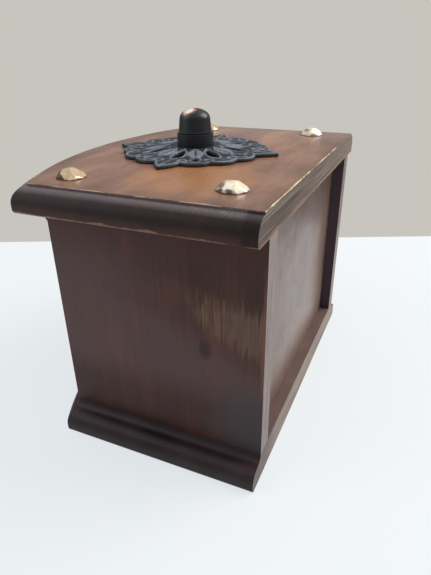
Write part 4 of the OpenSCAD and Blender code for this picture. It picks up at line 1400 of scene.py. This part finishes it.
@dataclass
class Studio:
    """The table, the lamps and the camera."""

    eye: Triple = (0.1868, 0.09195, 0.1460)
    azimuth: float = 114.12
    down: float = 26.89
    roll: float = -0.79
    lens: float = 29.93
    sensor: float = 36.0
    table_end: float = 0.170
    table: str = "e6eaec"
    glow: str = "eff4f7"
    glow_share: float = 0.74
    horizon: float = 0.1
    walls_glow: float = 0.3
    ceiling_glow: float = 1.0
    wall: str = "c8c5be"
    air: str = "f2f2f4"
    lamp_target: Triple = (0, 0, 0.06)
    lamps: tuple[tuple[str, Triple, float, float, str], ...] = (
        ("window", (-0.55, 0.75, 0.85), 13.0, 0.8, "fffaf2"),
        ("fill", (0.6, -0.9, 0.7), 4.0, 1.0, "eef3ff"),
    )

    def aim(self) -> tuple[Vector, Vector, Vector]:
        """The camera's right, its up and the way that it looks."""
        turn, tilt, lean = (math.radians(a) for a in (self.azimuth, self.down, self.roll))
        look = Vector(
            (-math.sin(turn) * math.cos(tilt), math.cos(turn) * math.cos(tilt), -math.sin(tilt))
        )
        right = Vector((math.cos(turn), math.sin(turn), 0))
        up = right.cross(look)
        return (
            right * math.cos(lean) + up * math.sin(lean),
            up * math.cos(lean) - right * math.sin(lean),
            look,
        )

    def camera(self) -> None:
        """Sets up the camera."""
        right, up, look = self.aim()
        data = bpy.data.cameras.new("camera")
        data.lens = self.lens
        data.sensor_fit = "AUTO"
        data.sensor_width = self.sensor
        data.clip_start = 0.01
        camera = bpy.data.objects.new("camera", data)
        bpy.context.scene.collection.objects.link(camera)
        turn = Matrix((right, up, -look)).transposed().to_4x4()
        camera.matrix_world = Matrix.Translation(self.eye) @ turn
        bpy.context.scene.camera = camera

    def floor(self) -> None:
        """Makes the table top, which ends behind the object."""
        look = self.aim()[2]
        away = Vector((look.x, look.y, 0)).normalized()
        Bench.clear()
        bpy.ops.mesh.primitive_plane_add(size=6.0, location=(0, 0, 0))
        table = Bench.named("table")
        Bench.pick(table, lambda face: True)
        bpy.ops.mesh.bisect(plane_co=away * self.table_end, plane_no=away, clear_outer=True)
        bpy.ops.object.mode_set(mode="OBJECT")
        recipe = Recipe("table")
        grain = recipe.noise((90, 90, 90), 1.0)
        colour = recipe.shade(self.table, 0.985 + grain * 0.03)
        lit = recipe.node("ShaderNodeBsdfPrincipled", {}, {"Base Color": colour, "Roughness": 0.6})
        glow = recipe.node("ShaderNodeEmission", {}, {"Color": self.glow, "Strength": 1.0})
        path = recipe.node("ShaderNodeLightPath", output="Is Camera Ray")
        seen = path.most(path.twin("Is Glossy Ray")).most(path.twin("Is Transmission Ray"))
        both = recipe.node("ShaderNodeMixShader", {}, {0: seen * self.glow_share, 1: lit, 2: glow})
        recipe.node("ShaderNodeOutputMaterial", {}, {"Surface": both})
        paint(table, recipe.owner)

    def lamp(self, name: str, place: Triple, power: float, size: float, colour: str) -> None:
        """Adds a soft lamp that looks at the object.

        Args:
            name: the lamp's name.
            place: where it hangs, in metres.
            power: its power in watts.
            size: its side in metres.
            colour: its colour.
        """
        data = bpy.data.lights.new(name, "AREA")
        data.energy = power
        data.size = size
        data.color = linear(colour)[:3]
        lamp = bpy.data.objects.new(name, data)
        bpy.context.scene.collection.objects.link(lamp)
        lamp.location = place
        way = Vector(place) - Vector(self.lamp_target)
        lamp.rotation_mode = "QUATERNION"
        lamp.rotation_quaternion = way.to_track_quat("Z", "Y")

    def light(self) -> None:
        """Sets up the world and the lamps."""
        room = Recipe("room", "worlds")
        bpy.context.scene.world = room.owner
        up = room.split(room.node("ShaderNodeTexCoord", output="Generated"))[2]
        strength = up.rise(self.horizon, 1.0, To_Min=self.walls_glow, To_Max=self.ceiling_glow)
        inputs = {"Color": self.air, "Strength": strength}
        air = room.node("ShaderNodeBackground", {}, inputs)
        wall = room.node("ShaderNodeBackground", {}, {"Color": self.wall})
        seen = room.node("ShaderNodeLightPath", output="Is Camera Ray")
        mixed = room.node("ShaderNodeMixShader", {}, {0: seen, 1: air, 2: wall})
        room.node("ShaderNodeOutputWorld", {}, {"Surface": mixed})
        for lamp in self.lamps:
            self.lamp(*lamp)

    def build(self) -> None:
        """Sets up everything round the object."""
        self.camera()
        self.floor()
        self.light()
        bpy.context.scene.view_settings.view_transform = "Standard"
        LOG.info("studio: table, room, 2 lamps")


def main() -> None:
    """Dresses the mill, piece by piece."""
    logging.basicConfig(level=logging.INFO, format="%(name)s %(message)s")
    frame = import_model()
    nodes = frame["nodes"]
    Studio().build()
    case = Case(nodes)
    case.dress()
    TopBoard(nodes["top_board"], case.bow).dress()
    rosette = Rosette(nodes["rosette"])
    rosette.dress(rosette.build())
    Tacks(nodes).build()
    Spindle(nodes).dress()
    Mill(nodes).dress()
    Filler(nodes, case.bow).dress()
    Drawer(nodes, case.bow).dress()


if __name__ == "__main__":
    main()
